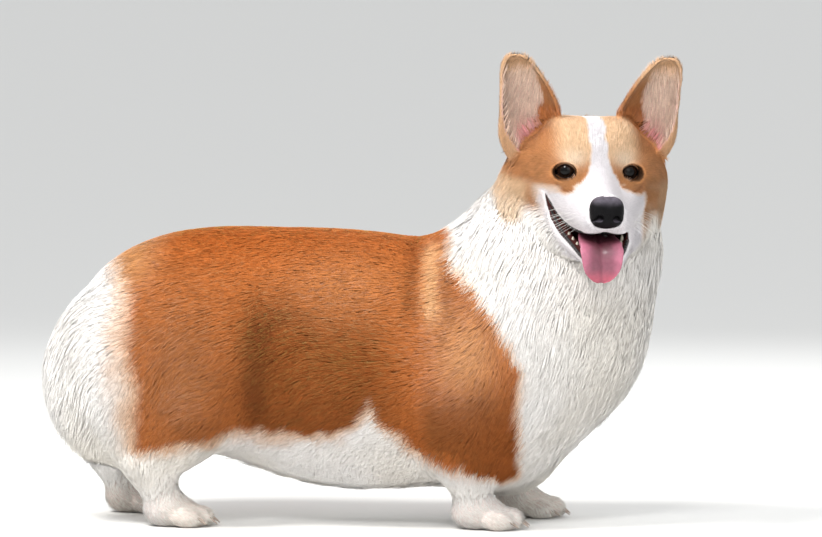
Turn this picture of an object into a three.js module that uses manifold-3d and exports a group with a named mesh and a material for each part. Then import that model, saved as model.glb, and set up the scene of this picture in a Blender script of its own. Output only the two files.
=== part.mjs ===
// A Pembroke Welsh corgi, life size, standing square with its head turned to its right and its mouth open.
// Millimetres, +X towards the chest, +Y to the dog's left, +Z up, floor at Z = 0.
// The body is one rounded field of soft forms, meshed whole and parted with thin plane cuts.
import * as THREE from "three";
import { mergeVertices } from "three/addons/utils/BufferGeometryUtils.js";
import Module from "manifold-3d";

const wasm = await Module();
wasm.setup();

// Driving dimensions, over the coat
const RIBS_HALF = 110; // half width of the ribs
const RIBS_HEIGHT = 164; // floor to the middle of the ribs
const LOIN_HALF = 91; // half width of the loin
const LOIN_HEIGHT = 185;
const RUMP_HALF = 103; // half width across the thighs' tops
const RUMP_HEIGHT = 178;
const SEAM_GAP = 0.3; // left between two nodes that touch
const COAT_CORE = 14; // how far the core stands back where the coat is long
const WELD = 1e-3; // points closer than this are one
const MAX_SETTLE = 2.5; // furthest that a point of a net moves to reach the surface

const FORE_TRACK = 58; // midline to a forefoot
const HIND_TRACK = 62; // midline to a hind foot
const FORE_FOOT_X = { right: 126, left: 160 }; // where each wrist stands along the body
const HIND_FOOT_X = { right: -182, left: -246 };

const EYE_CENTRE = [247.5, -75, 351]; // midway between the eyes
const HEAD_TURN = 14; // degrees from straight right (-Y) towards the chest (+X)
const HEAD_NOD = 9; // degrees below level
const HEAD_ROLL = 1; // degrees, the left ear lower
const EYE_HALF_GAP = 29.4;
const EYE_HEIGHT = -2; // below the point midway between the brows
const EYE_RADIUS = 11.5;

const rad = (degrees) => (degrees * Math.PI) / 180;
const add = (a, b) => [a[0] + b[0], a[1] + b[1], a[2] + b[2]];
const sub = (a, b) => [a[0] - b[0], a[1] - b[1], a[2] - b[2]];
const scale = (a, s) => [a[0] * s, a[1] * s, a[2] * s];
const dot = (a, b) => a[0] * b[0] + a[1] * b[1] + a[2] * b[2];
const cross = (a, b) => [a[1] * b[2] - a[2] * b[1], a[2] * b[0] - a[0] * b[2], a[0] * b[1] - a[1] * b[0]];
const unit = (a) => scale(a, 1 / Math.hypot(...a));
const mix = (a, b, t) => add(scale(a, 1 - t), scale(b, t));

// The head's own frame: forward, left and up, from the point midway between the eyes
const forward = [
  Math.sin(rad(HEAD_TURN)) * Math.cos(rad(HEAD_NOD)),
  -Math.cos(rad(HEAD_TURN)) * Math.cos(rad(HEAD_NOD)),
  -Math.sin(rad(HEAD_NOD)),
];
const level = [Math.cos(rad(HEAD_TURN)), Math.sin(rad(HEAD_TURN)), 0];
const [rollCos, rollSin] = [Math.cos(rad(HEAD_ROLL)), Math.sin(rad(HEAD_ROLL))];
const left = sub(scale(level, rollCos), scale(cross(forward, level), rollSin));
const up = cross(forward, left);
const toHead = (p) => {
  const d = sub(p, EYE_CENTRE);
  return [dot(d, forward), dot(d, left), dot(d, up)];
};
const fromHead = (q) =>
  add(EYE_CENTRE, add(scale(forward, q[0]), add(scale(left, q[1]), scale(up, q[2]))));
const headMatrix = new THREE.Matrix4().makeBasis(
  new THREE.Vector3(...forward),
  new THREE.Vector3(...left),
  new THREE.Vector3(...up),
).setPosition(...EYE_CENTRE);

// Soft forms. Each is a distance to its surface, negative inside.
// A ball is an ellipsoid, and a limb a rod whose radius runs from one end's to the other's.
const ball = (centre, radii, blend = 20) => ({ centre, radii, blend });
const limb = (from, to, fromRadius, toRadius, blend = 20) => ({ from, to, fromRadius, toRadius, blend });

function distance(form, x, y, z) {
  if (form.radii) {
    const [a, b, c] = form.radii;
    const [cx, cy, cz] = form.centre;
    const [px, py, pz] = [(x - cx) / a, (y - cy) / b, (z - cz) / c];
    const k0 = Math.hypot(px, py, pz);
    const k1 = Math.hypot(px / a, py / b, pz / c);
    return k1 > 1e-9 ? (k0 * (k0 - 1)) / k1 : -Math.min(a, b, c);
  }
  const [ax, ay, az] = form.from;
  const [bx, by, bz] = [form.to[0] - ax, form.to[1] - ay, form.to[2] - az];
  const [px, py, pz] = [x - ax, y - ay, z - az];
  const t = Math.min(1, Math.max(0, (px * bx + py * by + pz * bz) / (bx * bx + by * by + bz * bz)));
  const radius = form.fromRadius + t * (form.toRadius - form.fromRadius);
  return Math.hypot(px - t * bx, py - t * by, pz - t * bz) - radius;
}

// Two distances joined with a fillet about as wide as blend
function softMin(a, b, blend) {
  const h = Math.max(blend - Math.abs(a - b), 0) / blend;
  return Math.min(a, b) - (h * h * blend) / 4;
}
const FAR = 1e3; // further than any form reaches
const joined = (forms, x, y, z) =>
  forms.reduce((d, form) => softMin(d, distance(form, x, y, z), form.blend), FAR);
const otherSide = ([x, y, z]) => [x, -y, z];
const mirrored = (form) =>
  form.radii
    ? { ...form, centre: otherSide(form.centre) }
    : { ...form, from: otherSide(form.from), to: otherSide(form.to) };
const pair = (form) => [form, mirrored(form)];

const trunkForms = [
  ball([-176, 0, RUMP_HEIGHT], [112, RUMP_HALF, 101], 40), // rump
  ball([-71, 0, LOIN_HEIGHT], [166, LOIN_HALF, 110], 60), // loin
  ball([69, 0, RIBS_HEIGHT], [157, RIBS_HALF, 116], 60), // ribs
  ball([4, 0, 115], [144, 78, 79], 40), // belly coat
  ball([156, 0, 160], [79, 95, 130], 50), // chest
  ball([210, 0, 207], [89, 74, 109], 50), // forechest
  ...pair(ball([117, 54, 191], [60, 36, 84], 40)), // shoulders
  ...pair(ball([-228, 42, 144], [80, 42, 86], 30)), // breeches, the coat behind the thighs
];
const neckForms = [
  limb([181, 0, 228], [236, -2, 286], 73, 71, 50),
  limb([141, 0, 231], [193, 0, 319], 60, 53, 40), // crest of the nape
];

function hindLegForms(side, footX) {
  const y = side * HIND_TRACK;
  const thighX = -186 + (footX - HIND_FOOT_X.right) * 0.35;
  return [
    ball([thighX, side * 62, 156], [80, 46, 98], 30), // thigh
    limb([footX + 30, side * 68, 112], [footX - 12, side * 65, 66], 42, 25, 26), // lower leg
    limb([footX - 12, y, 60], [footX + 1, y, 22], 22, 18, 16), // hock to foot
    ...pawForms(footX + 14, y, 1),
  ];
}

function foreLegForms(side, footX) {
  const y = side * FORE_TRACK;
  return [
    limb([footX - 14, side * 72, 132], [footX - 8, side * 66, 76], 42, 30, 26), // upper arm and elbow
    limb([footX - 8, side * 64, 76], [footX - 1, y, 24], 26, 17.5, 20), // forearm
    ...pawForms(footX + 12, y, 1.04),
  ];
}

// A paw: a palm and four toes, which spread a little
const TOES = [
  [21, -7, [15, 8, 11]],
  [21, 7, [15, 8, 11]],
  [12, -18, [14, 7.5, 10]],
  [12, 18, [14, 7.5, 10]],
];
const pawForms = (x, y, size) => [
  ball([x - 6 * size, y, 15], [27 * size, 21 * size, 17], 12),
  ...TOES.map(([ahead, aside, radii]) =>
    ball([x + ahead * size, y + aside * size, radii[2] * size - 1.2], scale(radii, size), 7),
  ),
];

const legForms = [
  ...hindLegForms(-1, HIND_FOOT_X.right),
  ...hindLegForms(1, HIND_FOOT_X.left),
  ...foreLegForms(-1, FORE_FOOT_X.right),
  ...foreLegForms(1, FORE_FOOT_X.left),
];

// The head's forms, in its own frame
const skullForms = [
  ball([-46, 0, 2], [56, 54, 44], 20), // brain case
  ball([-22, 0, 6], [27, 40, 28], 20), // brow
  ...pair(ball([-14, 31, -1], [16, 17, 15], 12)), // round each eye
  ...pair(ball([-28, 42, -16], [32, 25, 27], 20)), // cheek bone
  ...pair(ball([-56, 47, -22], [34, 34, 44], 24)), // cheek coat
  ...pair(ball([-40, 27, 22], [30, 18, 22], 16)), // tufts before the ears
  ball([-48, 0, -44], [44, 48, 38], 24), // throat
];
const muzzleForms = [
  limb([-2, 0, -15], [55, -1.5, -27], 20, 14.5, 16), // bridge
  limb([4, 26, -29], [50, 11.5, -40], 21.5, 15.5, 12), // left lip
  limb([4, -26, -29], [50, -14.5, -40], 21.5, 15.5, 12), // right lip
];
const jawForms = pair(limb([-14, 32, -50], [45, 10, -76], 19, 12.5, 12));
function headField(f, l, u) {
  const withMuzzle = softMin(joined(skullForms, f, l, u), joined(muzzleForms, f, l, u), 14);
  return softMin(withMuzzle, joined(jawForms, f, l, u), 12);
}

// The body without its head. standBack draws the trunk's and neck's surface in, and leaves the legs'.
function bodyField(x, y, z, standBack = 0) {
  const trunk = softMin(joined(trunkForms, x, y, z), joined(neckForms, x, y, z), 50);
  return softMin(trunk + standBack, joined(legForms, x, y, z), 24);
}

// Where the coat is long the solid core stands back by COAT_CORE, and locks reach from it to the
// coat's own surface: the ruff and chest, the breeches behind the thighs, and the belly's fringe
const RUFF_EDGE = [[40, 150], [110, 162], [150, 166], [190, 150], [230, 140], [295, 92], [340, 100]];
const BREECHES_X = -226;
const FRINGE_HEIGHT = 92;
const ease = (t) => {
  const c = Math.min(Math.max(t, 0), 1);
  return c * c * (3 - 2 * c);
};
function along(rows, at) {
  const i = Math.max(1, rows.findIndex(([key]) => key > at));
  const [a, b] = rows.at(-1)[0] <= at ? [rows.at(-2), rows.at(-1)] : [rows[i - 1], rows[i]];
  const t = Math.min(Math.max((at - a[0]) / (b[0] - a[0]), 0), 1);
  return a[1] + t * (b[1] - a[1]);
}
function longCoat(x, y, z) {
  const ruff = ease((x - along(RUFF_EDGE, z)) / 26) * ease((z - 40) / 30);
  const breeches = ease((BREECHES_X - x) / 30) * ease((z - 66) / 20) * ease((250 - z) / 25);
  const fringe = ease((FRINGE_HEIGHT - z) / 26) * ease((x + 150) / 30) * ease((150 - x) / 30);
  return Math.max(ruff, breeches, fringe);
}
const coreField = (x, y, z) => bodyField(x, y, z, COAT_CORE * longCoat(x, y, z));

// Grid lines from one value to another, each step as long as cellAt says there
function gridLines(from, to, cellAt) {
  const lines = [from];
  while (lines.at(-1) < to) lines.push(lines.at(-1) + cellAt(lines.at(-1)));
  return lines;
}

// The surface where the field is zero, as a closed mesh. One vertex sits in each grid cell that the
// surface passes, and each grid edge that it crosses gets one four-sided face, split in two.
function surfaceNet(field, [xs, ys, zs]) {
  const [nx, ny, nz] = [xs.length, ys.length, zs.length];
  const at = (i, j, k) => (i * ny + j) * nz + k;
  const value = new Float64Array(nx * ny * nz);
  for (let i = 0; i < nx; i++)
    for (let j = 0; j < ny; j++)
      for (let k = 0; k < nz; k++) {
        const onEdge = i === 0 || j === 0 || k === 0 || i === nx - 1 || j === ny - 1 || k === nz - 1;
        const d = field(xs[i], ys[j], zs[k]);
        value[at(i, j, k)] = onEdge ? Math.max(d, 1) : d;
      }
  const vertexOf = new Int32Array(nx * ny * nz).fill(-1);
  const points = [];
  for (let i = 0; i < nx - 1; i++)
    for (let j = 0; j < ny - 1; j++)
      for (let k = 0; k < nz - 1; k++) {
        const corner = (c) => [i + (c & 1), j + ((c >> 1) & 1), k + (c >> 2)];
        const sum = [0, 0, 0];
        let crossings = 0;
        for (let c = 0; c < 8; c++)
          for (const bit of [1, 2, 4]) {
            if (c & bit) continue;
            const [a, b] = [corner(c), corner(c | bit)];
            const [va, vb] = [value[at(...a)], value[at(...b)]];
            if (va < 0 === vb < 0) continue;
            const t = va / (va - vb);
            sum[0] += xs[a[0]] + t * (xs[b[0]] - xs[a[0]]);
            sum[1] += ys[a[1]] + t * (ys[b[1]] - ys[a[1]]);
            sum[2] += zs[a[2]] + t * (zs[b[2]] - zs[a[2]]);
            crossings++;
          }
        if (!crossings) continue;
        vertexOf[at(i, j, k)] = points.length / 3;
        points.push(...scale(sum, 1 / crossings));
      }
  const faces = [];
  const quad = (a, b, c, d, turn) => {
    if (turn) faces.push(a, c, b, a, d, c);
    else faces.push(a, b, c, a, c, d);
  };
  for (let i = 0; i < nx - 1; i++)
    for (let j = 0; j < ny - 1; j++)
      for (let k = 0; k < nz - 1; k++) {
        const inside = value[at(i, j, k)] < 0;
        const v = (di, dj, dk) => vertexOf[at(i - di, j - dj, k - dk)];
        if (j && k && inside !== value[at(i + 1, j, k)] < 0)
          quad(v(0, 1, 1), v(0, 0, 1), v(0, 0, 0), v(0, 1, 0), !inside);
        if (i && k && inside !== value[at(i, j + 1, k)] < 0)
          quad(v(1, 0, 1), v(0, 0, 1), v(0, 0, 0), v(1, 0, 0), inside);
        if (i && j && inside !== value[at(i, j, k + 1)] < 0)
          quad(v(1, 1, 0), v(0, 1, 0), v(0, 0, 0), v(1, 0, 0), !inside);
      }
  return new THREE.BufferGeometry()
    .setAttribute("position", new THREE.BufferAttribute(new Float32Array(settled(field, points)), 3))
    .setIndex(faces);
}

// Points moved along the field's slope onto its surface
function settled(field, points) {
  const step = 0.5;
  const moved = points.slice();
  for (let i = 0; i < points.length; i += 3) {
    const [x, y, z] = points.slice(i, i + 3);
    const d = field(x, y, z);
    const slope = [
      (field(x + step, y, z) - field(x - step, y, z)) / (2 * step),
      (field(x, y + step, z) - field(x, y - step, z)) / (2 * step),
      (field(x, y, z + step) - field(x, y, z - step)) / (2 * step),
    ];
    const steep = Math.max(dot(slope, slope), 0.2);
    const reach = Math.min(Math.max(d / steep, -MAX_SETTLE), MAX_SETTLE);
    moved.splice(i, 3, x - reach * slope[0], y - reach * slope[1], z - reach * slope[2]);
  }
  return moved;
}

// A closed geometry as a solid that can be joined and cut, and back
function solid(geometry, matrix = null) {
  let bare = new THREE.BufferGeometry().setAttribute("position", geometry.getAttribute("position").clone());
  if (geometry.index) bare.setIndex(geometry.index.clone());
  if (matrix) bare.applyMatrix4(matrix);
  bare = mergeVertices(bare, WELD);
  const points = bare.attributes.position.array;
  const corners = Array.from(bare.index.array);
  const corner = (i) => [points[3 * corners[i]], points[3 * corners[i] + 1], points[3 * corners[i] + 2]];
  let volume = 0;
  for (let i = 0; i < corners.length; i += 3) volume += dot(corner(i), cross(corner(i + 1), corner(i + 2)));
  if (volume < 0) corners.reverse();
  return new wasm.Manifold(
    new wasm.Mesh({
      numProp: 3,
      vertProperties: new Float32Array(points),
      triVerts: new Uint32Array(corners),
    }),
  );
}
function geometryOf(made) {
  const mesh = made.getMesh();
  const points = new Float32Array(mesh.numVert * 3);
  for (let i = 0; i < mesh.numVert; i++)
    points.set(mesh.vertProperties.subarray(i * mesh.numProp, i * mesh.numProp + 3), i * 3);
  return new THREE.BufferGeometry()
    .setAttribute("position", new THREE.BufferAttribute(points, 3))
    .setIndex(new THREE.BufferAttribute(new Uint32Array(mesh.triVerts), 1));
}
const largest = (made) => made.decompose().reduce((a, b) => (a.volume() > b.volume() ? a : b));
const joinAll = (made) => made.reduce((a, b) => a.add(b));
const even = (cell) => () => cell;
const netOf = (low, high, cell, field = bodyField, matrix = null) =>
  solid(surfaceNet(field, [0, 1, 2].map((a) => gridLines(low[a], high[a], even(cell)))), matrix);

// A plane is a point and a normal. What lies on the side that the normal points to is kept, and clear
// is how far from the plane it stays.
const plane = (point, normal) => ({ point, normal: unit(normal) });
const keep = (made, { point, normal }, clear = SEAM_GAP / 2) =>
  made.trimByPlane(normal, dot(normal, point) + clear);
const drop = (made, { point, normal }, clear = SEAM_GAP / 2) =>
  keep(made, { point, normal: scale(normal, -1) }, clear);
const everything = solid(new THREE.BoxGeometry(1000, 1000, 1000));
const spaceInside = (planes) => planes.reduce((space, cut) => keep(space, cut, 0), everything);
const keepInside = (made, planes) => planes.reduce((kept, cut) => keep(kept, cut, SEAM_GAP), made);

// A skin over rings of as many points each, closed by a fan over each end ring
function loft(rings, matrix = null, tip = null) {
  const n = rings[0].length;
  const middle = (ring) => scale(ring.reduce(add), 1 / n);
  const points = [...rings.flat(), middle(rings[0]), tip ?? middle(rings.at(-1))];
  const [startTip, endTip] = [points.length - 2, points.length - 1];
  const faces = [];
  for (let i = 0; i < n; i++) {
    const next = (i + 1) % n;
    faces.push(startTip, next, i);
    for (let r = 0; r < rings.length - 1; r++) {
      const [a, b] = [r * n, (r + 1) * n];
      faces.push(a + i, a + next, b + next, a + i, b + next, b + i);
    }
    const last = (rings.length - 1) * n;
    faces.push(endTip, last + i, last + next);
  }
  const geometry = new THREE.BufferGeometry()
    .setAttribute("position", new THREE.BufferAttribute(new Float32Array(points.flat()), 3))
    .setIndex(faces);
  return solid(geometry, matrix);
}

// Parting planes of the body. Each normal points to the part that is named.
const chestFrom = plane([62, 0, 0], [1, 0, 0]);
const rumpFrom = plane([-98, 0, 0], [-1, 0, 0]);
const neckFrom = plane([165, 0, 262], [0.35, 0, 0.94]);
const HOCK_HEIGHT = 62;
const WRIST_HEIGHT = 46;
const thighPlanes = (side) => [
  plane([-190, side * 56, 212], [0, side * 0.5, -0.87]),
  plane([-104, side * 60, 140], [-1, 0, 0.45]),
  plane([0, side * 13, 0], [0, side, 0]),
  plane([0, 0, HOCK_HEIGHT], [0, 0, 1]),
];
const hindFootPlanes = (side) => [
  plane([0, 0, HOCK_HEIGHT], [0, 0, -1]),
  plane([-112, 0, 0], [-1, 0, 0]),
  plane([0, side * 13, 0], [0, side, 0]),
];
const armPlanes = (side, footX) => [
  plane([footX, side * 84, 150], [0, side * 0.45, -0.9]),
  plane([footX + 44, side * 60, 80], [-1, 0, 0.12]),
  plane([footX - 62, side * 60, 80], [1, 0, 0]),
  plane([0, side * 26, 0], [0, side, 0]),
  plane([0, 0, WRIST_HEIGHT], [0, 0, 1]),
];
const foreFootPlanes = (side, footX) => [
  plane([0, 0, WRIST_HEIGHT], [0, 0, -1]),
  plane([footX + 80, 0, 0], [-1, 0, 0]),
  plane([footX - 62, 0, 0], [1, 0, 0]),
  plane([0, side * 26, 0], [0, side, 0]),
];
const sides = { right: -1, left: 1 };

const materials = {
  red: new THREE.MeshStandardMaterial({ color: 0xb5622c, roughness: 0.85, metalness: 0 }),
  white: new THREE.MeshStandardMaterial({ color: 0xece6df, roughness: 0.85, metalness: 0 }),
  eye: new THREE.MeshStandardMaterial({ color: 0x120b08, roughness: 0.1, metalness: 0 }),
  nose: new THREE.MeshStandardMaterial({ color: 0x1b1a1d, roughness: 0.45, metalness: 0 }),
  tongue: new THREE.MeshStandardMaterial({ color: 0xc7647f, roughness: 0.4, metalness: 0 }),
};
const dog = new THREE.Group();
function node(name, made, material) {
  const mesh = new THREE.Mesh(geometryOf(largest(made)), material);
  mesh.name = name;
  dog.add(mesh);
}

// A lock lies along the coat's flow over the core: its root is sunk, and it rises to the coat's own
// surface at its tip. It is flat, widest near the root, and bends a little to one side.
const seeded = (seed) => () => {
  seed = (seed * 16807) % 2147483647;
  return seed / 2147483647;
};
function slopeAt(field, p) {
  const step = 1.5;
  const rise = (axis) => field(...add(p, scale(axis, step))) - field(...sub(p, scale(axis, step)));
  return unit([rise([1, 0, 0]), rise([0, 1, 0]), rise([0, 0, 1])]);
}
function toLevel(field, p, level) {
  let q = p;
  for (let i = 0; i < 4; i++) q = sub(q, scale(slopeAt(field, q), field(...q) - level));
  return q;
}
// How far along a lock each ring stands, its height over the core and its share of the width
const LOCK_STATIONS = [
  [0, -7, 0.8],
  [0.3, 3, 1],
  [0.68, 9, 0.78],
  [1, 13, 0],
];
function lock(root, flow, { length, width, thick, bend }) {
  const normal = slopeAt(coreField, root);
  const lie = unit(sub(flow, scale(normal, dot(flow, normal))));
  const aside = cross(normal, lie);
  const middles = LOCK_STATIONS.map(([s, height]) => {
    const p = add(root, add(scale(lie, s * length), scale(aside, bend * s * s)));
    return toLevel(coreField, p, height);
  });
  const tip = middles.at(-1);
  const rings = middles.slice(0, -1).map((p, i) => {
    const heading = unit(sub(middles[i + 1], middles[Math.max(i - 1, 0)]));
    const out = slopeAt(coreField, p);
    const across = unit(cross(out, heading));
    const over = cross(heading, across);
    const half = (width / 2) * LOCK_STATIONS[i][2];
    const deep = thick * LOCK_STATIONS[i][2];
    return [
      add(p, scale(across, half)),
      add(p, scale(over, deep)),
      add(p, scale(across, -half)),
      add(p, scale(over, -0.6 * deep)),
    ];
  });
  return loft(rings, null, tip);
}

// Where a level ray from an upright axis leaves the core
function outFrom(axis, height, turn) {
  const heading = [Math.cos(turn), Math.sin(turn), 0];
  const at = (reach) => [axis[0] + reach * heading[0], axis[1] + reach * heading[1], height];
  let [near, far] = [0, 200];
  for (let i = 0; i < 24; i++) {
    const middle = (near + far) / 2;
    if (coreField(...at(middle)) < 0) near = middle;
    else far = middle;
  }
  return at(near);
}
function tieredLocks(seed, { axis, heights, fan, spacing, flow, size }) {
  const draw = seeded(seed);
  const locks = [];
  heights.forEach((height, row) => {
    const middle = outFrom(axis, height, (fan[0] + fan[1]) / 2);
    const radius = Math.hypot(middle[0] - axis[0], middle[1] - axis[1]);
    const count = Math.round(((fan[1] - fan[0]) * radius) / spacing);
    for (let i = 0; i < count; i++) {
      const turn = fan[0] + ((i + 0.5 + (row % 2 ? 0.25 : -0.25)) / count) * (fan[1] - fan[0]);
      const root = outFrom(axis, height + 8 * (draw() - 0.5), turn + 0.06 * (draw() - 0.5));
      const vary = 0.85 + 0.3 * draw();
      locks.push(
        lock(root, flow(root), {
          length: size.length * vary,
          width: size.width * (0.9 + 0.2 * draw()),
          thick: size.thick,
          bend: 14 * (draw() - 0.5),
        }),
      );
    }
  });
  return locks;
}

// Trunk and neck in one net, finer towards the neck
const trunkLines = [
  gridLines(-345, 350, (x) => (x < 90 ? 27 : 24)),
  gridLines(-158, 150, even(24)),
  gridLines(-19, 410, (z) => (z < 110 ? 19 : z < 230 ? 27 : 20)),
];
const trunkNet = solid(surfaceNet(coreField, trunkLines)).trimByPlane([0, 0, 1], 0);

// Head, meshed in its own frame, finer towards the face, and once more a gap larger for what meets it
const headLines = [
  gridLines(-114, 84, (f) => (f < -30 ? 15.5 : 9)),
  gridLines(-101, 96, (l) => (Math.abs(l + 4) < 46 ? 8.8 : 15)),
  gridLines(-102, 60, (u) => (u > -92 && u < 16 ? 8.7 : 15)),
];
const headNet = solid(surfaceNet(headField, headLines), headMatrix);
const swollenHead = (f, l, u) => headField(f, l, u) - 2.2 * SEAM_GAP;
const headPocket = solid(surfaceNet(swollenHead, headLines), headMatrix);
const headFrom = plane(fromHead([-64, 0, 0]), forward);

const legSpaces = Object.entries(sides).flatMap(([name, side]) => [
  spaceInside(thighPlanes(side)),
  spaceInside(hindFootPlanes(side)),
  spaceInside(armPlanes(side, FORE_FOOT_X[name])),
  spaceInside(foreFootPlanes(side, FORE_FOOT_X[name])),
]);
const bareTrunk = trunkNet.subtract(joinAll(legSpaces));
const tail = loft(
  [-50, -24, -8, -1, 3].map((out, i) =>
    Array.from({ length: 10 }, (_, k) => {
      const turn = (2 * Math.PI * k) / 10;
      const radius = [15, 14, 12.5, 9, 3][i];
      return [-276 - out, radius * Math.cos(turn), 226 - out * 0.25 + radius * 0.9 * Math.sin(turn)];
    }),
  ),
);
const ruffLocks = joinAll(
  tieredLocks(11, {
    axis: [190, 0],
    heights: [284, 247, 210, 174, 138, 104],
    fan: [rad(-104), rad(104)],
    spacing: 42,
    flow: ([x, y]) => [-0.3, 0.0015 * y, -1],
    size: { length: 64, width: 46, thick: 4.6 },
  }),
);
const breechLocks = (side) =>
  joinAll(
    tieredLocks(side < 0 ? 23 : 29, {
      axis: [-210, side * 40],
      heights: [206, 172, 138, 106],
      fan: side < 0 ? [rad(-178), rad(-112)] : [rad(112), rad(178)],
      spacing: 34,
      flow: () => [-0.5, 0, -1],
      size: { length: 54, width: 38, thick: 4.2 },
    }),
  );
node("rump", keep(bareTrunk, rumpFrom), materials.red);
// The belly's fringe hangs in a row along each side
const fringeLocks = joinAll(
  [1, -1].flatMap((side) => {
    const draw = seeded(41 + side);
    return [-116, -85, -54, -23, 8, 39, 70].map((x) => {
      const start = [x + 8 * draw(), side * 52, 70];
      return lock(toLevel(coreField, start, 0), [-0.55, 0, -1], {
        length: 44 * (0.85 + 0.3 * draw()),
        width: 34,
        thick: 4,
        bend: 10 * (draw() - 0.5),
      });
    });
  }),
);
const bellied = bareTrunk.add(fringeLocks);
node("barrel", drop(drop(bellied, rumpFrom), chestFrom), materials.red);
const pocketAhead = keep(headPocket, headFrom, -SEAM_GAP / 2);
const ruffed = (made) => made.add(ruffLocks).subtract(pocketAhead);
const chestCore = keep(bareTrunk, chestFrom);
node(
  "chest",
  drop(keep(ruffed(chestCore), chestFrom), neckFrom).subtract(joinAll(legSpaces)),
  materials.white,
);
const napeNet = netOf([60, -110, 190], [330, 130, 420], 21, (x, y, z) =>
  softMin(coreField(x, y, z), headField(...toHead([x, y, z])), 22),
);
const neckBack = drop(napeNet, headFrom, 0);
const neckFront = keep(trunkNet, headFrom, -4);
node("neck", keep(ruffed(neckBack.add(neckFront)), neckFrom), materials.white);
node("tail", tail.subtract(trunkNet), materials.red);

// Each toe's claw, blunt and curved down, with its tip just off the floor
const CLAW = [
  [8, 9.5, 3.2],
  [15, 7.6, 2.4],
];
const CLAW_TIP = [20, 2.2];
function claws(x, y, size) {
  const made = TOES.map(([ahead, aside]) => {
    const [baseX, baseY] = [x + ahead * size, y + aside * size];
    const rings = CLAW.map(([forwardBy, height, radius]) =>
      Array.from({ length: 5 }, (_, k) => {
        const turn = (2 * Math.PI * k) / 5;
        const [wide, rise] = [0.75 * radius * Math.cos(turn), radius * Math.sin(turn)];
        return [baseX + forwardBy, baseY + wide, height + rise];
      }),
    );
    return loft(rings, null, [baseX + CLAW_TIP[0], baseY, CLAW_TIP[1]]);
  });
  return joinAll(made);
}

// Legs
const FOOT_CELL = 11;
const onFloor = (made) => made.trimByPlane([0, 0, 1], 0);
for (const [name, side] of Object.entries(sides)) {
  const [inner, outer] = side < 0 ? [-150, -6] : [6, 150];
  const thigh = keepInside(trunkNet, thighPlanes(side)).add(breechLocks(side));
  node(`hind_thigh_${name}`, keepInside(thigh, thighPlanes(side)), materials.red);
  const hindX = HIND_FOOT_X[name];
  const hindBox = [[hindX - 66, inner, -9], [hindX + 70, outer, 75]];
  const hindNet = onFloor(netOf(...hindBox, FOOT_CELL, coreField));
  const hindFoot = keepInside(hindNet, hindFootPlanes(side));
  node(`hind_foot_${name}`, hindFoot.add(claws(hindX + 14, side * HIND_TRACK, 1)), materials.white);
  const foreX = FORE_FOOT_X[name];
  node(`fore_arm_${name}`, keepInside(trunkNet, armPlanes(side, foreX)), materials.red);
  const foreBox = [[foreX - 65.9, inner, -9.1], [foreX + 84, outer, 60]];
  const foreNet = onFloor(netOf(...foreBox, FOOT_CELL, coreField));
  const foreFoot = keepInside(foreNet, foreFootPlanes(side, foreX));
  node(`fore_foot_${name}`, foreFoot.add(claws(foreX + 12, side * FORE_TRACK, 1.04)), materials.white);
}

// Mouth, open from corner to corner: forward and up along each lip, the same on both sides
const UPPER_LIP = [[5, -30], [8.4, -34.4], [16.6, -46.5], [24.6, -52.4], [33, -55.4], [45, -56], [60, -54.5]];
const LOWER_LIP = [[7, -44], [19, -56.4], [34.9, -66.7], [44.8, -73], [52, -77], [60, -80]];
const LIPS_AHEAD = 90; // past the nose, where the mouth's outline closes
const JAW_BACK = [-16, -112];
function slab(outline, halfWidth) {
  const shape = new THREE.Shape(outline.map(([f, u]) => new THREE.Vector2(f, u)));
  const geometry = new THREE.ExtrudeGeometry(shape, { depth: 2 * halfWidth, bevelEnabled: false });
  return solid(geometry.translate(0, 0, -halfWidth).rotateX(Math.PI / 2), headMatrix);
}
const mouth = slab(
  [
    ...UPPER_LIP,
    [LIPS_AHEAD, UPPER_LIP.at(-1)[1]],
    [LIPS_AHEAD, LOWER_LIP.at(-1)[1] - 1],
    ...LOWER_LIP.toReversed(),
  ],
  90,
);
const jawSpace = (clear) =>
  slab(
    [
      UPPER_LIP[0],
      ...LOWER_LIP,
      [110, LOWER_LIP.at(-1)[1]],
      [110, -140],
      [JAW_BACK[0] - 9 - clear, -140],
      [JAW_BACK[0] - clear, JAW_BACK[1]],
      [UPPER_LIP[0][0] - clear, UPPER_LIP[0][1]],
    ],
    90,
  );

// Eyes, each a ball behind an almond opening with a raised rim
const EYE_DEPTH = -8.2; // forward place of each eyeball's middle
const ALMOND = { half: 8.6, high: 6.6, low: 6.2 };
function almond(size, count = 14) {
  return Array.from({ length: count }, (_, i) => {
    const turn = (2 * Math.PI * i) / count;
    const height = Math.sin(turn) * (Math.sin(turn) > 0 ? ALMOND.high : ALMOND.low);
    return [ALMOND.half * size * Math.cos(turn), height * size * (1 - 0.25 * Math.cos(turn) ** 2)];
  });
}
function eyeFrame(side) {
  const gaze = unit(add(forward, add(scale(left, side * 0.3), scale(up, 0.06))));
  const level = unit(cross(gaze, up));
  const axes = [level, cross(level, gaze), gaze].map((axis) => new THREE.Vector3(...axis));
  return new THREE.Matrix4()
    .makeBasis(...axes)
    .setPosition(...fromHead([EYE_DEPTH, side * EYE_HALF_GAP, EYE_HEIGHT]));
}
const eyeball = (side, radius, detail) =>
  solid(new THREE.IcosahedronGeometry(radius, detail), eyeFrame(side));
const eyeOpening = (side) =>
  loft([2, 14, 26].map((z, i) => almond(1 + 0.18 * i).map(([x, y]) => [x, y, z])), eyeFrame(side));
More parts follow.
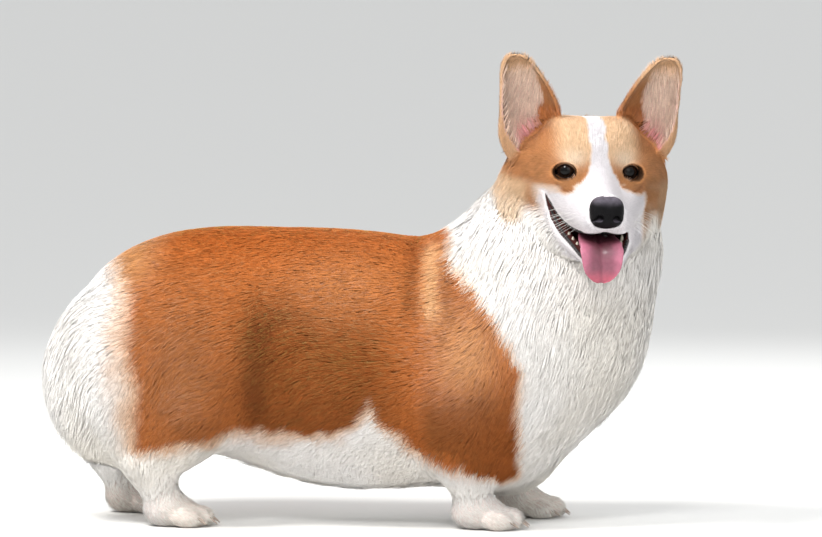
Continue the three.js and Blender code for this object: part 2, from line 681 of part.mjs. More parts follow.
function eyelids(side) {
  const sunk = EYE_RADIUS + 0.6;
  const line = almond(1.1).map(([x, y]) => [x, y, Math.sqrt(sunk * sunk - x * x - y * y)]);
  const around = 6;
  const points = [];
  const faces = [];
  line.forEach((p, i) => {
    const along = unit(sub(line[(i + 1) % line.length], line.at(i - 1)));
    const out = unit(cross(along, unit(p)));
    for (let k = 0; k < around; k++) {
      const turn = (2 * Math.PI * k) / around;
      const offset = add(scale(out, 2.1 * Math.cos(turn)), scale(unit(p), 1.7 * Math.sin(turn)));
      points.push(...add(p, offset));
      const [a, b] = [i * around, ((i + 1) % line.length) * around];
      const next = (k + 1) % around;
      faces.push(a + k, b + k, b + next, a + k, b + next, a + next);
    }
  });
  const geometry = new THREE.BufferGeometry()
    .setAttribute("position", new THREE.BufferAttribute(new Float32Array(points), 3))
    .setIndex(faces);
  return solid(geometry, eyeFrame(side));
}

// Ears, each a cup that opens forward. A row gives the height above the eyes, the middle's distance
// from the midline, the half width, the depth of the cup's back and how far forward the rim stands.
const EAR_SHIFT = { [-1]: -1.5, 1: 5.5 }; // how much nearer the midline each ear is carried
const EAR_ROWS = [
  [-14, 50, 12, 12, -46],
  [4, 57, 23, 19, -41],
  [22, 60, 29.5, 23, -38],
  [50, 60.5, 31, 21, -36],
  [75, 67, 25.5, 16, -34.5],
  [90, 72.5, 20.5, 12.5, -34],
  [100, 76, 15.5, 9, -34],
  [105, 77.5, 10.5, 6, -34],
  [107.5, 78, 5, 3.5, -34],
];
const CUP_ROWS = [
  [12, 59, 10, 7, -37],
  [26, 60, 20, 15, -37],
  [50, 61, 26, 16.5, -35.5],
  [75, 67, 21, 11.5, -34],
  [90, 72.5, 15.5, 7.5, -33.5],
  [100, 76, 9.5, 4, -33.5],
];
function earShape(side, rows, reach, count) {
  const rings = rows.map(([u, l, half, back, f], i) =>
    Array.from({ length: count }, (_, k) => {
      const turn = (2 * Math.PI * (k + 0.5)) / count;
      const ahead = reach === null ? 3 : reach[i];
      const deep = Math.cos(turn) * (Math.cos(turn) < 0 ? back : ahead);
      return [f + deep, side * (l - EAR_SHIFT[side] + half * Math.sin(turn)), u];
    }),
  );
  return loft(rings, headMatrix);
}
const earOuter = (side) => earShape(side, EAR_ROWS, null, 14);
const earCup = (side) => earShape(side, CUP_ROWS, [4, 16, 22, 22, 22, 22], 10);

// Nose pad with its two nostrils
const NOSE_ASIDE = -2.3; // the nose points a little to the dog's right
const noseForms = [
  ball([60, NOSE_ASIDE, -31.5], [12.5, 14.8, 15.6], 6),
  ...[-1, 1].flatMap((side) => [
    ball([64, NOSE_ASIDE + side * 8.5, -35], [7.5, 6.8, 8.5], 6),
    ball([62, NOSE_ASIDE + side * 8.3, -25], [8.5, 7, 7.5], 6),
  ]),
];
const noseField = (swell) => (f, l, u) => joined(noseForms, f, l, u) - swell;
const noseBox = [[42, -24, -52], [82, 19, -7]];
const NOSE_CELL = 5.2;
const nosePad = netOf(...noseBox, NOSE_CELL, noseField(0), headMatrix);
const nosePocket = netOf(...noseBox, NOSE_CELL, noseField(SEAM_GAP), headMatrix);
function nostril(side) {
  const matrix = headMatrix.clone().multiply(
    new THREE.Matrix4()
      .makeRotationX(side * 0.5)
      .setPosition(72.5, NOSE_ASIDE + side * 7.7, -35.5)
      .multiply(new THREE.Matrix4().makeScale(6, 3.6, 2.6)),
  );
  return solid(new THREE.IcosahedronGeometry(1, 1), matrix);
}

// Tongue, over the lower lip. A row gives forward, up, half width and half thickness.
const TONGUE_ROWS = [
  [17, -55, 13, 5],
  [30, -61, 17, 5.5],
  [42, -64, 19, 5.5],
  [53, -65, 20.4, 5],
  [60.5, -69, 20.6, 4.4],
  [64.5, -77, 20.2, 3.8],
  [65.5, -85, 17.8, 3.4],
  [64.8, -92.5, 12.6, 3],
  [64, -97.5, 5.5, 2],
];
const TONGUE_ASIDE = -5; // it leans to the dog's right
function tongueShape(swell) {
  const rings = TONGUE_ROWS.map(([f, u, half, thick], i) => {
    const before = TONGUE_ROWS[Math.max(i - 1, 0)];
    const after = TONGUE_ROWS[Math.min(i + 1, TONGUE_ROWS.length - 1)];
    const heading = unit([after[0] - before[0], 0, after[1] - before[1]]);
    const outward = [-heading[2], 0, heading[0]];
    return Array.from({ length: 14 }, (_, k) => {
      const turn = (2 * Math.PI * k) / 14;
      const groove = Math.sin(turn) > 0.8 ? 0.62 : 1;
      const rise = (thick + swell) * Math.sin(turn) * groove;
      return add([f, TONGUE_ASIDE + (half + swell) * Math.cos(turn), u], scale(outward, rise));
    });
  });
  return loft(rings, headMatrix);
}

const hollows = Object.values(sides).flatMap((side) => [
  eyeball(side, EYE_RADIUS + 2 * SEAM_GAP, 2),
  eyeOpening(side),
  earCup(side),
]);
const liddedHead = headNet.add(eyelids(-1)).add(eyelids(1));
const hollowHead = liddedHead.subtract(joinAll([...hollows, nosePocket, mouth]));
node("head", keep(hollowHead, headFrom).subtract(jawSpace(SEAM_GAP)), materials.red);
node("lower_jaw", hollowHead.intersect(jawSpace(0)).subtract(tongueShape(SEAM_GAP)), materials.white);
node("nose", nosePad.subtract(nostril(-1)).subtract(nostril(1)), materials.nose);
node("tongue", tongueShape(0), materials.tongue);
for (const [name, side] of Object.entries(sides)) {
  node(`eye_${name}`, eyeball(side, EYE_RADIUS, 2), materials.eye);
  const ear = keep(earOuter(side), headFrom).subtract(earCup(side)).subtract(headPocket);
  node(`ear_${name}`, ear, materials.red);
}

// The floor's middle under the whole dog is the origin
const reach = new THREE.Box3().setFromObject(dog);
dog.position.set(-(reach.min.x + reach.max.x) / 2, -(reach.min.y + reach.max.y) / 2, -reach.min.z);

export default dog;
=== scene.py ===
# %% [markdown]
# # A Pembroke Welsh corgi, dressed in its coat
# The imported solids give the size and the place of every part. This lesson keeps them as the frame and
# covers them with one fine skin, more than two hundred thousand small solid tufts, wet eyes, a nose and
# a mouth.

import bpy
import numpy as np
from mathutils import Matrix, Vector


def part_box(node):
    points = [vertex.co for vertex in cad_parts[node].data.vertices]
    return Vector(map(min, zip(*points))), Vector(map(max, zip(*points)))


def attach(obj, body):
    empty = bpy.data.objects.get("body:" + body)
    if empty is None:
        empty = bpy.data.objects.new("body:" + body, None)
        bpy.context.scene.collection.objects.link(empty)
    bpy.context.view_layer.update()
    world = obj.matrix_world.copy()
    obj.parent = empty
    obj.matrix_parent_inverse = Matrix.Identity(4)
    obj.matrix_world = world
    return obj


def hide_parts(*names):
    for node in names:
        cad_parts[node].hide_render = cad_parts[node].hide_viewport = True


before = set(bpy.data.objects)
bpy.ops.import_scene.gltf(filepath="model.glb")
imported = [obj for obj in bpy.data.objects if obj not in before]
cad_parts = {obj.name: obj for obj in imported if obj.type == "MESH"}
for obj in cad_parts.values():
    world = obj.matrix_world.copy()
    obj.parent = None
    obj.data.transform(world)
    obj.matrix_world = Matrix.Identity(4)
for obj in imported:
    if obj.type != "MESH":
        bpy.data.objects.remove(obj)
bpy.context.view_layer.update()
print("solids in the frame:", len(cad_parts))

# %% [markdown]
# ## Where the dog stands
# Shapes below are worked out in millimetres from a point under the dog's back, the same as in the
# solids. Two parting faces of the solids, whose places are known, say how far that point lies from the
# frame's origin, so the skin fits the solids however wide the coat makes their box.

# %% The shared measure
BARREL_BACK = -97.85  # the barrel's rear face
THIGH_INNER = 13.3  # the left thigh's inner face
SHIFT = np.array(
    [
        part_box("barrel")[0].x * 1000 - BARREL_BACK,
        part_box("hind_thigh_left")[0].y * 1000 - THIGH_INNER,
        0.0,
    ]
)
SIDES = (("right", -1), ("left", 1))
print("shift in mm:", SHIFT.round(2))


def metres(points):
    """Millimetre places (3, n) as the frame's metres (n, 3)."""
    return ((points.T + SHIFT) / 1000).astype(np.float32)


# %% [markdown]
# ## The head's own axes
# The head turns towards the viewer, so its parts are easier to place along its own forward, left and
# up axes, from the point midway between the eyes.

# %% Head axes
EYES_MIDDLE = np.array([247.5, -75.0, 351.0])
TURN, NOD, ROLL = np.radians([14.0, 9.0, 1.0])
AHEAD = np.array([np.sin(TURN) * np.cos(NOD), -np.cos(TURN) * np.cos(NOD), -np.sin(NOD)])
LEVEL = np.array([np.cos(TURN), np.sin(TURN), 0.0])
ASIDE = LEVEL * np.cos(ROLL) - np.cross(AHEAD, LEVEL) * np.sin(ROLL)
HEAD_AXES = np.stack([AHEAD, ASIDE, np.cross(AHEAD, ASIDE)])


def to_head(p):
    """Places in the head's axes: the offset from the eyes' middle, measured along each axis."""
    return HEAD_AXES.astype(p.dtype) @ (p - EYES_MIDDLE[:, None].astype(p.dtype))


def from_head(q):
    """Back from the head's axes: the eyes' middle plus each axis times its measure."""
    return EYES_MIDDLE[:, None] + HEAD_AXES.T @ q


# %% [markdown]
# ## Soft forms
# Muscle and coat are rounded masses that run into each other. Each form is a distance to its surface,
# negative inside: an ellipsoid, or a rod whose radius changes from end to end. Two of them are joined
# with a fillet where their distances are nearly the same. Sculpting by hand could give the same
# surface, but distances also tell every hair how deep in the coat it lies.


# %% Distances
def ball(centre, radii, blend=20):
    """An ellipsoid by its centre and its three radii, with how wide a fillet joins it to others."""
    return {"centre": np.array(centre, float), "radii": np.array(radii, float), "blend": blend}


def rod(start, end, start_radius, end_radius, blend=20):
    """A rod with round ends, whose radius changes evenly from one end to the other."""
    ends = np.array([start, end], float)
    return {"ends": ends, "girth": (start_radius, end_radius), "blend": blend}


def pair(form):
    """A form and its mirror image across the midline."""
    flip = np.array([1, -1, 1])
    key = "centre" if "centre" in form else "ends"
    return [form, {**form, key: form[key] * flip}]


def distance(form, p):
    """Ellipsoid: k0 (k0 - 1) / k1, with k0 and k1 the lengths of p over the radii and over their squares.
    Rod: the distance to the nearest point of its axis less the radius there."""
    if "radii" in form:
        radii = form["radii"][:, None].astype(p.dtype)
        q = (p - form["centre"][:, None].astype(p.dtype)) / radii
        k0 = np.sqrt(np.einsum("in,in->n", q, q))
        q /= radii
        k1 = np.sqrt(np.einsum("in,in->n", q, q))
        return k0 * (k0 - 1) / np.maximum(k1, 1e-9)
    start, end = form["ends"].astype(p.dtype)
    axis = end - start
    q = p - start[:, None]
    t = np.clip(axis @ q / (axis @ axis), 0, 1)
    q = q - axis[:, None] * t
    near, far = form["girth"]
    return np.sqrt(np.einsum("in,in->n", q, q)) - near - t * (far - near)


def soft_min(a, b, blend):
    """The smaller of two distances, less h squared times a quarter of the blend, where h is how nearly
    the two are the same as a share of the blend."""
    h = np.maximum(blend - np.abs(a - b), 0) / blend
    return np.minimum(a, b) - h * h * (blend / 4)


def joined(forms, p):
    """Soft minimum over all forms, each with its own blend."""
    d = np.full(p.shape[1], 1e3, p.dtype)
    for form in forms:
        d = soft_min(d, distance(form, p), form["blend"])
    return d


def ease(t):
    """3t2 - 2t3 between 0 and 1."""
    t = np.clip(t, 0, 1)
    return t * t * (3 - 2 * t)


def bell(*offsets):
    """1 where every offset is 0, and e to the minus sum of their squares away from there."""
    return np.exp(-sum(offset * offset for offset in offsets))


# %% The body's forms
FORE_TRACK, HIND_TRACK = 58, 62
FORE_FOOT_X = {-1: 126, 1: 160}
HIND_FOOT_X = {-1: -182, 1: -246}
HIND_PAW_AHEAD, HIND_PAW_SIZE = 14, 1.0
FORE_PAW_AHEAD, FORE_PAW_SIZE = 12, 1.04
TRUNK = [
    ball([-176, 0, 178], [112, 103, 101], 40),  # rump
    ball([-71, 0, 185], [166, 91, 110], 60),  # loin
    ball([69, 0, 164], [157, 110, 116], 60),  # ribs
    ball([4, 0, 115], [144, 78, 79], 40),  # belly coat
    ball([156, 0, 160], [79, 95, 130], 50),  # chest
    ball([210, 0, 207], [89, 74, 109], 50),  # forechest
    *pair(ball([117, 54, 191], [60, 36, 84], 40)),  # shoulders
    *pair(ball([-228, 42, 144], [80, 42, 86], 30)),  # breeches
]
NECK = [
    rod([181, 0, 228], [236, -2, 286], 73, 71, 50),
    rod([141, 0, 231], [193, 0, 319], 60, 53, 40),
]
# Each toe: how far ahead and aside of the palm, and its radii
TOES = [
    (21, -7, (15, 8, 11)),
    (21, 7, (15, 8, 11)),
    (12, -18, (14, 7.5, 10)),
    (12, 18, (14, 7.5, 10)),
]


def paw(x, y, size):
    """A palm and four toes, which spread a little."""
    palm = ball([x - 6 * size, y, 15], np.array([27 * size, 21 * size, 17]), 12)
    toes = [
        ball([x + a * size, y + s * size, r[2] * size - 1.2], np.array(r) * size, 7)
        for a, s, r in TOES
    ]
    return [palm, *toes]


def hind_leg(side):
    """Thigh, second thigh, hock and paw, down to where that foot stands."""
    x, y = HIND_FOOT_X[side], side * HIND_TRACK
    thigh_x = -186 + (x - HIND_FOOT_X[-1]) * 0.35
    return [
        ball([thigh_x, side * 62, 156], [80, 46, 98], 30),
        rod([x + 30, side * 68, 112], [x - 12, side * 65, 66], 42, 25, 26),
        rod([x - 12, y, 60], [x + 1, y, 22], 22, 18, 16),
        *paw(x + HIND_PAW_AHEAD, y, HIND_PAW_SIZE),
    ]


def fore_leg(side):
    """Upper arm, forearm and paw, down to where that foot stands."""
    x, y = FORE_FOOT_X[side], side * FORE_TRACK
    return [
        rod([x - 14, side * 72, 132], [x - 8, side * 66, 76], 42, 30, 26),
        rod([x - 8, side * 64, 76], [x - 1, y, 24], 26, 17.5, 20),
        *paw(x + FORE_PAW_AHEAD, y, FORE_PAW_SIZE),
    ]


LEGS = [form for side in (-1, 1) for form in (*hind_leg(side), *fore_leg(side))]

# %% The head's forms, in its own axes
SKULL = [
    ball([-46, 0, 2], [56, 54, 44], 20),  # brain case
    ball([-22, 0, 6], [27, 40, 28], 20),  # brow
    *pair(ball([-14, 31, -1], [16, 17, 15], 12)),  # round each eye
    *pair(ball([-28, 42, -16], [32, 25, 27], 20)),  # cheek bone
    *pair(ball([-56, 47, -22], [34, 34, 44], 24)),  # cheek coat
    *pair(ball([-40, 27, 22], [30, 18, 22], 16)),  # tufts before the ears
    ball([-48, 0, -44], [44, 48, 38], 24),  # throat
]
MUZZLE = [
    rod([-2, 0, -15], [55, -1.5, -27], 20, 14.5, 16),  # bridge
    rod([4, 26, -29], [50, 11.5, -40], 21.5, 15.5, 12),  # left lip
    rod([4, -26, -29], [50, -14.5, -40], 21.5, 15.5, 12),  # right lip
]
JAW = pair(rod([-14, 32, -50], [45, 10, -76], 19, 12.5, 12))
# Ear rows: height, distance from the midline, half width, depth of the back, how far forward
EAR_ROWS = np.array(
    [
        [-14, 50, 12, 12, -46],
        [4, 57, 23, 19, -41],
        [22, 60, 29.5, 23, -38],
        [50, 60.5, 31, 21, -36],
        [75, 67, 25.5, 16, -34.5],
        [90, 72.5, 20.5, 12.5, -34],
        [100, 76, 15.5, 9, -34],
        [105, 77.5, 10.5, 6, -34],
        [107.5, 78, 5, 3.5, -34],
    ]
)
CUP_ROWS = np.array(
    [
        [12, 59, 10, 7, -37],
        [26, 60, 20, 15, -37],
        [50, 61, 26, 16.5, -35.5],
        [75, 67, 21, 11.5, -34],
        [90, 72.5, 16, 7.5, -33.5],
        [98, 75.5, 11.5, 4.5, -33.5],
        [102.5, 77, 7.5, 2.5, -33.2],
        [105, 77.6, 2.5, 0.8, -32.6],
    ]
)
EAR_INWARD = {-1: -1.5, 1: 5.5}  # how much nearer the midline each ear is carried
CUP_REACH = 30  # how far the cup's opening reaches forward


def through(rows, at):
    """A smooth curve through rows: a cubic on each span, with slopes from the rows on either side."""
    keys, values = rows[:, 0], rows[:, 1:]
    slopes = np.gradient(values, keys, axis=0)
    at = np.clip(at, keys[0], keys[-1])
    i = np.clip(np.searchsorted(keys, at) - 1, 0, len(keys) - 2)
    span = keys[i + 1] - keys[i]
    t = ((at - keys[i]) / span)[:, None]
    span = span[:, None]
    h1, h2 = t * t * (3 - 2 * t), t * (t - 1) ** 2
    return (
        values[i] * (1 - h1)
        + values[i + 1] * h1
        + slopes[i] * h2 * span
        + slopes[i + 1] * t * t * (t - 1) * span
    ).T


def ear_shell(q, side, rows, front):
    """In each level slice an ellipse, its front half as deep as front says and its back half as the row
    says; cut off above the last row and below the first."""
    f, l, u = q
    l = l * side + EAR_INWARD[side]
    middle, half, back, ahead = through(rows, u)
    depth = np.where(f < ahead, back, front)
    x, y = (f - ahead) / depth, (l - middle) / half
    k0 = np.hypot(x, y)
    k1 = np.hypot(x / depth, y / half)
    d = k0 * (k0 - 1) / np.maximum(k1, 1e-6)
    return np.maximum(d, np.maximum(u - rows[-1, 0] - 0.5, rows[0, 0] - u))


def ears(q, inset=0.0):
    """Both ears: the outer shell, drawn in by inset, less the cup."""
    d = np.full(q.shape[1], 1e3, q.dtype)
    near = (q[2] > -22) & (np.abs(q[1]) > 18) & (np.abs(q[0] + 38) < 40)
    close = q[:, near]
    for side in (-1, 1):
        shell = ear_shell(close, side, EAR_ROWS, 3.0) + inset
        cup = ear_shell(close, side, CUP_ROWS, CUP_REACH)
        d[near] = np.minimum(d[near], np.maximum(shell, 0.3 - cup))
    return d


def head(q):
    """Skull and muzzle joined with a wide fillet, and the jaw with a narrower one."""
    d = soft_min(joined(SKULL, q), joined(MUZZLE, q), 14)
    return soft_min(d, joined(JAW, q), 12)


def masses(p):
    """The distances that everything below is made of: the trunk with its neck, the legs and the head."""
    q = to_head(p)
    trunk = soft_min(joined(TRUNK, p), joined(NECK, p), 50)
    return {"trunk": trunk, "legs": joined(LEGS, p), "head": head(q), "in_head_axes": q}


def whole(mass):
    """Trunk and legs joined with a fillet, and then the head."""
    return soft_min(soft_min(mass["trunk"], mass["legs"], 24), mass["head"], 22)


print("soft forms:", len(TRUNK + NECK + LEGS + SKULL + MUZZLE + JAW))

# %% [markdown]
# ## How deep the coat is
# A corgi's coat is short on the face and legs, thick on the trunk, and long on the ruff and chest,
# behind the thighs and under the belly. The skin lies under the coat's surface by that depth. One
# function gives the depth anywhere, so the skin and the tufts agree.

# %% Coat regions
# Where the white collar starts, as height and place along the body
RUFF_EDGE = np.array(
    [
        [40, 150],
        [91, 163],
        [129, 172],
        [153, 175],
        [197, 155],
        [235, 129],
        [263, 104],
        [294, 95],
        [340, 100],
    ],
    float,
)
BREECHES_X, FRINGE_HEIGHT = -226, 92


def collar_edge(z):
    """Where the collar starts at each height, along straight lines between the edge's points."""
    return np.interp(z, RUFF_EDGE[:, 0], RUFF_EDGE[:, 1])


def coat_regions(p, mass):
    """How far a place belongs to the ruff, the breeches, the belly's fringe, the legs and the head,
    each from 0 to 1."""
    x, y, z = p
    ruff = ease((x - collar_edge(z)) / 40 + 0.2) * ease((z - 40) / 30)
    breeches = ease((BREECHES_X - x) / 34 + 0.4) * ease((z - 62) / 24) * ease((262 - z) / 30)
    fringe = ease((FRINGE_HEIGHT - z) / 30) * ease((x + 160) / 40) * ease((160 - x) / 40)
    legs = ease((96 - z) / 44) * ease((np.abs(y) - 26) / 14)
    in_head = ease((mass["trunk"] - mass["head"]) / 30 + 0.5)
    fringe *= 1 - legs
    ruff *= 1 - legs
    breeches *= 1 - legs * ease((86 - z) / 20)
    return {
        "ruff": ruff * (1 - in_head),
        "breeches": breeches,
        "fringe": fringe,
        "legs": legs,
        "head": in_head,
    }


SHORT_DEPTH, LONG_DEPTH, LEG_DEPTH, FACE_DEPTH, CHEEK_DEPTH = 5.0, 9.0, 2.6, 1.1, 6.0


def coat_depth(p, mass):
    """Short coat on the trunk, deeper where it is long, thin on legs and face, and thick on the cheeks."""
    region = coat_regions(p, mass)
    f, l, u = mass["in_head_axes"]
    long = np.maximum.reduce([region["ruff"], region["breeches"], region["fringe"]])
    trunk = SHORT_DEPTH + (LONG_DEPTH - SHORT_DEPTH) * long
    paws = ease((44 - p[2]) / 26)
    low = LEG_DEPTH - 1.4 * paws
    trunk = trunk + (low - trunk) * region["legs"]
    cheek = ease((-34 - f) / 34) * ease((np.hypot(l, u + 25) - 20) / 30)
    face = FACE_DEPTH + (CHEEK_DEPTH - FACE_DEPTH) * cheek
    return trunk + (face - trunk) * region["head"]


def coat_surface(p):
    """The outer surface of the coat, with the ears and their cups."""
    mass = masses(p)
    return np.minimum(whole(mass), ears(mass["in_head_axes"]))


# %% [markdown]
# ## Sockets, mouth and nose bed
# The face has openings that no rounded mass gives: a socket behind each eye, the open mouth and the bed
# of the nose. They are distances too, taken away from the skin before it becomes a mesh.

# %% Openings of the face
EYE_RADIUS, EYE_DEPTH, EYE_HALF_GAP, EYE_HEIGHT = 11.5, -8.2, 29.4, -2.0
ALMOND_HALF, ALMOND_HIGH, ALMOND_LOW = 8.6, 6.6, 6.2
# Forward and up along each lip, the same on both sides
UPPER_LIP = np.array(
    [
        [3, -25],
        [5, -28],
        [9, -32],
        [17, -43],
        [25, -50.5],
        [33, -54.5],
        [45, -56],
        [60, -54.5],
        [90, -54],
    ],
    float,
)
LOWER_LIP = np.array(
    [
        [3, -34],
        [5.7, -45],
        [12, -53],
        [19, -59],
        [34.9, -69],
        [44.8, -75.5],
        [52, -78.5],
        [60, -81],
        [90, -82],
    ],
    float,
)
MOUTH_CORNER = 4.0
LEFT_CORNER = 31.0  # how much further forward the mouth starts on the dog's left, where the lips meet
LEFT_RISE = 7.0  # the lower lip lies higher on the dog's left, where the tongue leans away
NOSE = [
    ball([60, -2.3, -31.5], [12.5, 14.8, 15.6], 6),
    ball([64, 6.2, -35], [7.5, 6.8, 8.5], 6),
    ball([64, -10.8, -35], [7.5, 6.8, 8.5], 6),
    ball([62, 6, -25], [8.5, 7, 7.5], 6),
    ball([62, -10.6, -25], [8.5, 7, 7.5], 6),
]


def lip_line(line, f, l):
    """The height of a lip at each place along the head; the lower one rises to the left."""
    rise = LEFT_RISE * ease(l / 16) if line is LOWER_LIP else 0
    return np.interp(f, line[:, 0], line[:, 1]) + rise


def eye_axes(side):
    """Rows across, upright and along the gaze: each eye looks a little outwards."""
    gaze = np.array([1, side * 0.3, 0.06])
    gaze /= np.linalg.norm(gaze)
    across = np.cross(gaze, [0, 0, 1])
    across /= np.linalg.norm(across)
    return np.stack([across, np.cross(across, gaze), gaze])


def eye_middle(side):
    """The middle of each eyeball: back from between the eyes and half their distance aside."""
    return np.array([EYE_DEPTH, side * EYE_HALF_GAP, EYE_HEIGHT])


def sockets(q, size=1.0, room=0.8):
    """A ball behind each eye, and the almond opening carried forward from it and widening."""
    d = np.full(q.shape[1], 1e3, q.dtype)
    for side in (-1, 1):
        x, y, z = eye_axes(side) @ (q - eye_middle(side)[:, None])
        behind = np.sqrt(x * x + y * y + z * z) - EYE_RADIUS - room
        widen = size * (1 + 0.015 * np.maximum(z, 0))
        tall = np.where(y > 0, ALMOND_HIGH, ALMOND_LOW) * widen
        opening = (np.hypot(x / (ALMOND_HALF * widen), y / tall) - 1) * tall
        opening = np.maximum(opening, 2 - z)
        d = np.minimum(d, np.minimum(behind, opening))
    return d


def mouth(q):
    """Between the lips' lines in the side view, through the whole width, and hollow behind."""
    f, l, u = q
    upper, lower = lip_line(UPPER_LIP, f, l), lip_line(LOWER_LIP, f, l)
    corner = MOUTH_CORNER + LEFT_CORNER * ease(l / 16)
    gap = np.maximum(np.maximum(u - upper, lower - u) * 0.8, corner - f)
    hollow = distance(ball([22, 0, -57], [30, 26, 13]), q)
    return soft_min(gap, hollow, 4)


def skin_surface(p):
    """The coat's surface drawn in by its depth, with the ears thinner than their coat, less the face's
    openings."""
    mass = masses(p)
    q = mass["in_head_axes"]
    flesh = whole(mass) + coat_depth(p, mass)
    flesh = soft_min(flesh, ears(q, 0.9), 5)
    nose_bed = joined(NOSE, q) + 0.4
    openings = np.minimum(np.minimum(sockets(q, 1.1), nose_bed), mouth(q))
    return np.maximum(flesh, -openings)


# %% [markdown]
# ## From distances to a mesh
# A surface net puts one point in each grid cell that the surface passes, at the mean of the crossings
# on the cell's edges, and one four-sided face round each grid edge that it crosses. The points then
# slide along the slope onto the surface. The grid is finer at the head, where lids and lips are small.


# %% Surface net
def slope(field, p, step=0.6):
    """Central differences of the field along each axis."""
    offsets = np.eye(3)[:, :, None] * step
    return np.stack([field(p + o) - field(p - o) for o in offsets]) / (2 * step)


def grid_lines(start, end, bands):
    """Lines from start to just past end. Each band is a place and the cell size that holds from there."""
    lines = [start]
    while lines[-1] < end:
        lines.append(lines[-1] + [size for begin, size in bands if lines[-1] >= begin][-1])
    return np.array(lines)


def at_crossings(field, lines, chosen):
    """The field at the chosen crossings of the grid lines, some thousands at a time."""
    value = np.empty(len(chosen[0]), np.float32)
    for part in np.array_split(np.arange(len(value)), max(1, len(value) // 60000)):
        p = np.stack([g[c[part]] for g, c in zip(lines, chosen)]).astype(np.float32)
        value[part] = field(p)
    return value


def sampled(field, lines, step=4):
    """The field at every crossing of the grid lines. Every fourth line is sampled first, and the rest
    only in blocks that the surface may pass; elsewhere a far value of the same sign stands in."""
    rough = [g[::step] for g in lines]
    shape = tuple(len(g) for g in rough)
    first = at_crossings(field, rough, np.unravel_index(np.arange(np.prod(shape)), shape)).reshape(shape)
    widest = [np.gradient(g).max() * step for g in lines]
    near = np.abs(first) < 1.15 * np.linalg.norm(widest) / 2 + 3
    for axis in range(3):
        pad = [(1, 1) if a == axis else (0, 0) for a in range(3)]
        wide = np.pad(near, pad)
        n = near.shape[axis]
        near = near | np.take(wide, range(n), axis) | np.take(wide, range(2, n + 2), axis)
    full = tuple(len(g) for g in lines)
    block = np.ix_(*(np.minimum((np.arange(n) + step // 2) // step, m - 1) for n, m in zip(full, shape)))
    value = np.where(first < 0, -9.0, 9.0).astype(np.float32)[block]
    chosen = np.nonzero(near[block])
    value[chosen] = at_crossings(field, lines, chosen)
    value[0] = value[-1] = value[:, 0] = value[:, -1] = value[:, :, 0] = value[:, :, -1] = 1.0
    print("grid crossings", value.size, "of which looked at", len(chosen[0]))
    return value


def surface_net(field, lines, settle=4, reach=0.9):
    """Points (3, n) and quads (m, 4) of the surface where the field is zero."""
    value = sampled(field, lines)
    inside = value < 0
    cells = tuple(n - 1 for n in value.shape)
    corner_at = [(i, j, k) for i in (0, 1) for j in (0, 1) for k in (0, 1)]

    def corner(array, c):
        return array[c[0] : c[0] + cells[0], c[1] : c[1] + cells[1], c[2] : c[2] + cells[2]]

    count = sum(corner(inside, c).astype(np.int8) for c in corner_at)
    where = np.nonzero((count > 0) & (count < 8))
    number = np.full(cells, -1, np.int64)
    number[where] = np.arange(len(where[0]))
    total, crossings = np.zeros((3, len(where[0]))), np.zeros(len(where[0]))
    for a in corner_at:
        for axis in range(3):
            if a[axis]:
                continue
            b = tuple(1 if i == axis else v for i, v in enumerate(a))
            va = value[tuple(w + o for w, o in zip(where, a))]
            vb = value[tuple(w + o for w, o in zip(where, b))]
            crossed = (va < 0) != (vb < 0)
            t = np.where(crossed, va / np.where(crossed, va - vb, 1), 0)
            ends = [np.stack([g[w + o] for g, w, o in zip(lines, where, c)]) for c in (a, b)]
            total += np.where(crossed, ends[0] + t * (ends[1] - ends[0]), 0)
            crossings += crossed
    points = total / crossings
    quads = []
    for axis in range(3):
        one, two = [(1, 2), (2, 0), (0, 1)][axis]
        ahead = np.take(inside, range(1, inside.shape[axis]), axis)
        behind = np.take(inside, range(inside.shape[axis] - 1), axis)
        at = np.array(np.nonzero(ahead != behind))
        at = at[:, (at[one] > 0) & (at[two] > 0)]
        step_one, step_two = np.zeros((3, 1), int), np.zeros((3, 1), int)
        step_one[one], step_two[two] = 1, 1
        ring = [at - step_one - step_two, at - step_two, at, at - step_one]
        quad = np.stack([number[tuple(r)] for r in ring], axis=1)
        outward = behind[tuple(at)]
        quads.append(np.where(outward[:, None], quad, quad[:, ::-1]))
    for _ in range(settle):
        d, g = field(points), slope(field, points, 0.4)
        move = d / np.maximum((g * g).sum(0), 0.25)
        points = points - np.clip(move, -reach, reach) * g
    return points, np.concatenate(quads)


FINE = 1.6
COARSE = 5.0
MIDDLE = 1.5 * FINE
TOE_CELL, TRUNK_CELL = 3.2, 1.08 * COARSE
# The head stands ahead of x 186, to the right of y -52 and between z 246 and 398
skin_lines = [
    grid_lines(-348.0, 352.0, [(-348, COARSE), (150, MIDDLE), (186, FINE), (312, MIDDLE)]),
    grid_lines(-158.0, 152.0, [(-158, FINE), (-52, MIDDLE), (22, COARSE)]),
    grid_lines(-6.0, 470.0, [(-6, TOE_CELL), (44, TRUNK_CELL), (246, FINE), (398, MIDDLE)]),
]


def above_floor(p):
    """The skin cut off level at the floor, where the pads rest."""
    return np.maximum(skin_surface(p), 0.2 - p[2])


def largest_part(points, quads):
    """Each point takes the lowest number among its neighbours until nothing changes; the number that
    most points end with marks the largest part, and the rest is left out."""
    label = np.arange(points.shape[1])
    edges = np.concatenate([quads[:, [0, 1]], quads[:, [1, 2]], quads[:, [2, 3]], quads[:, [3, 0]]])
    while True:
        lowest = np.minimum(label[edges[:, 0]], label[edges[:, 1]])
        new = label.copy()
        np.minimum.at(new, edges[:, 0], lowest)
        np.minimum.at(new, edges[:, 1], lowest)
        new = new[new]
        if (new == label).all():
            break
        label = new
    keep = label == np.bincount(label).argmax()
    number = np.cumsum(keep) - 1
    return points[:, keep], number[quads[keep[quads[:, 0]]]]


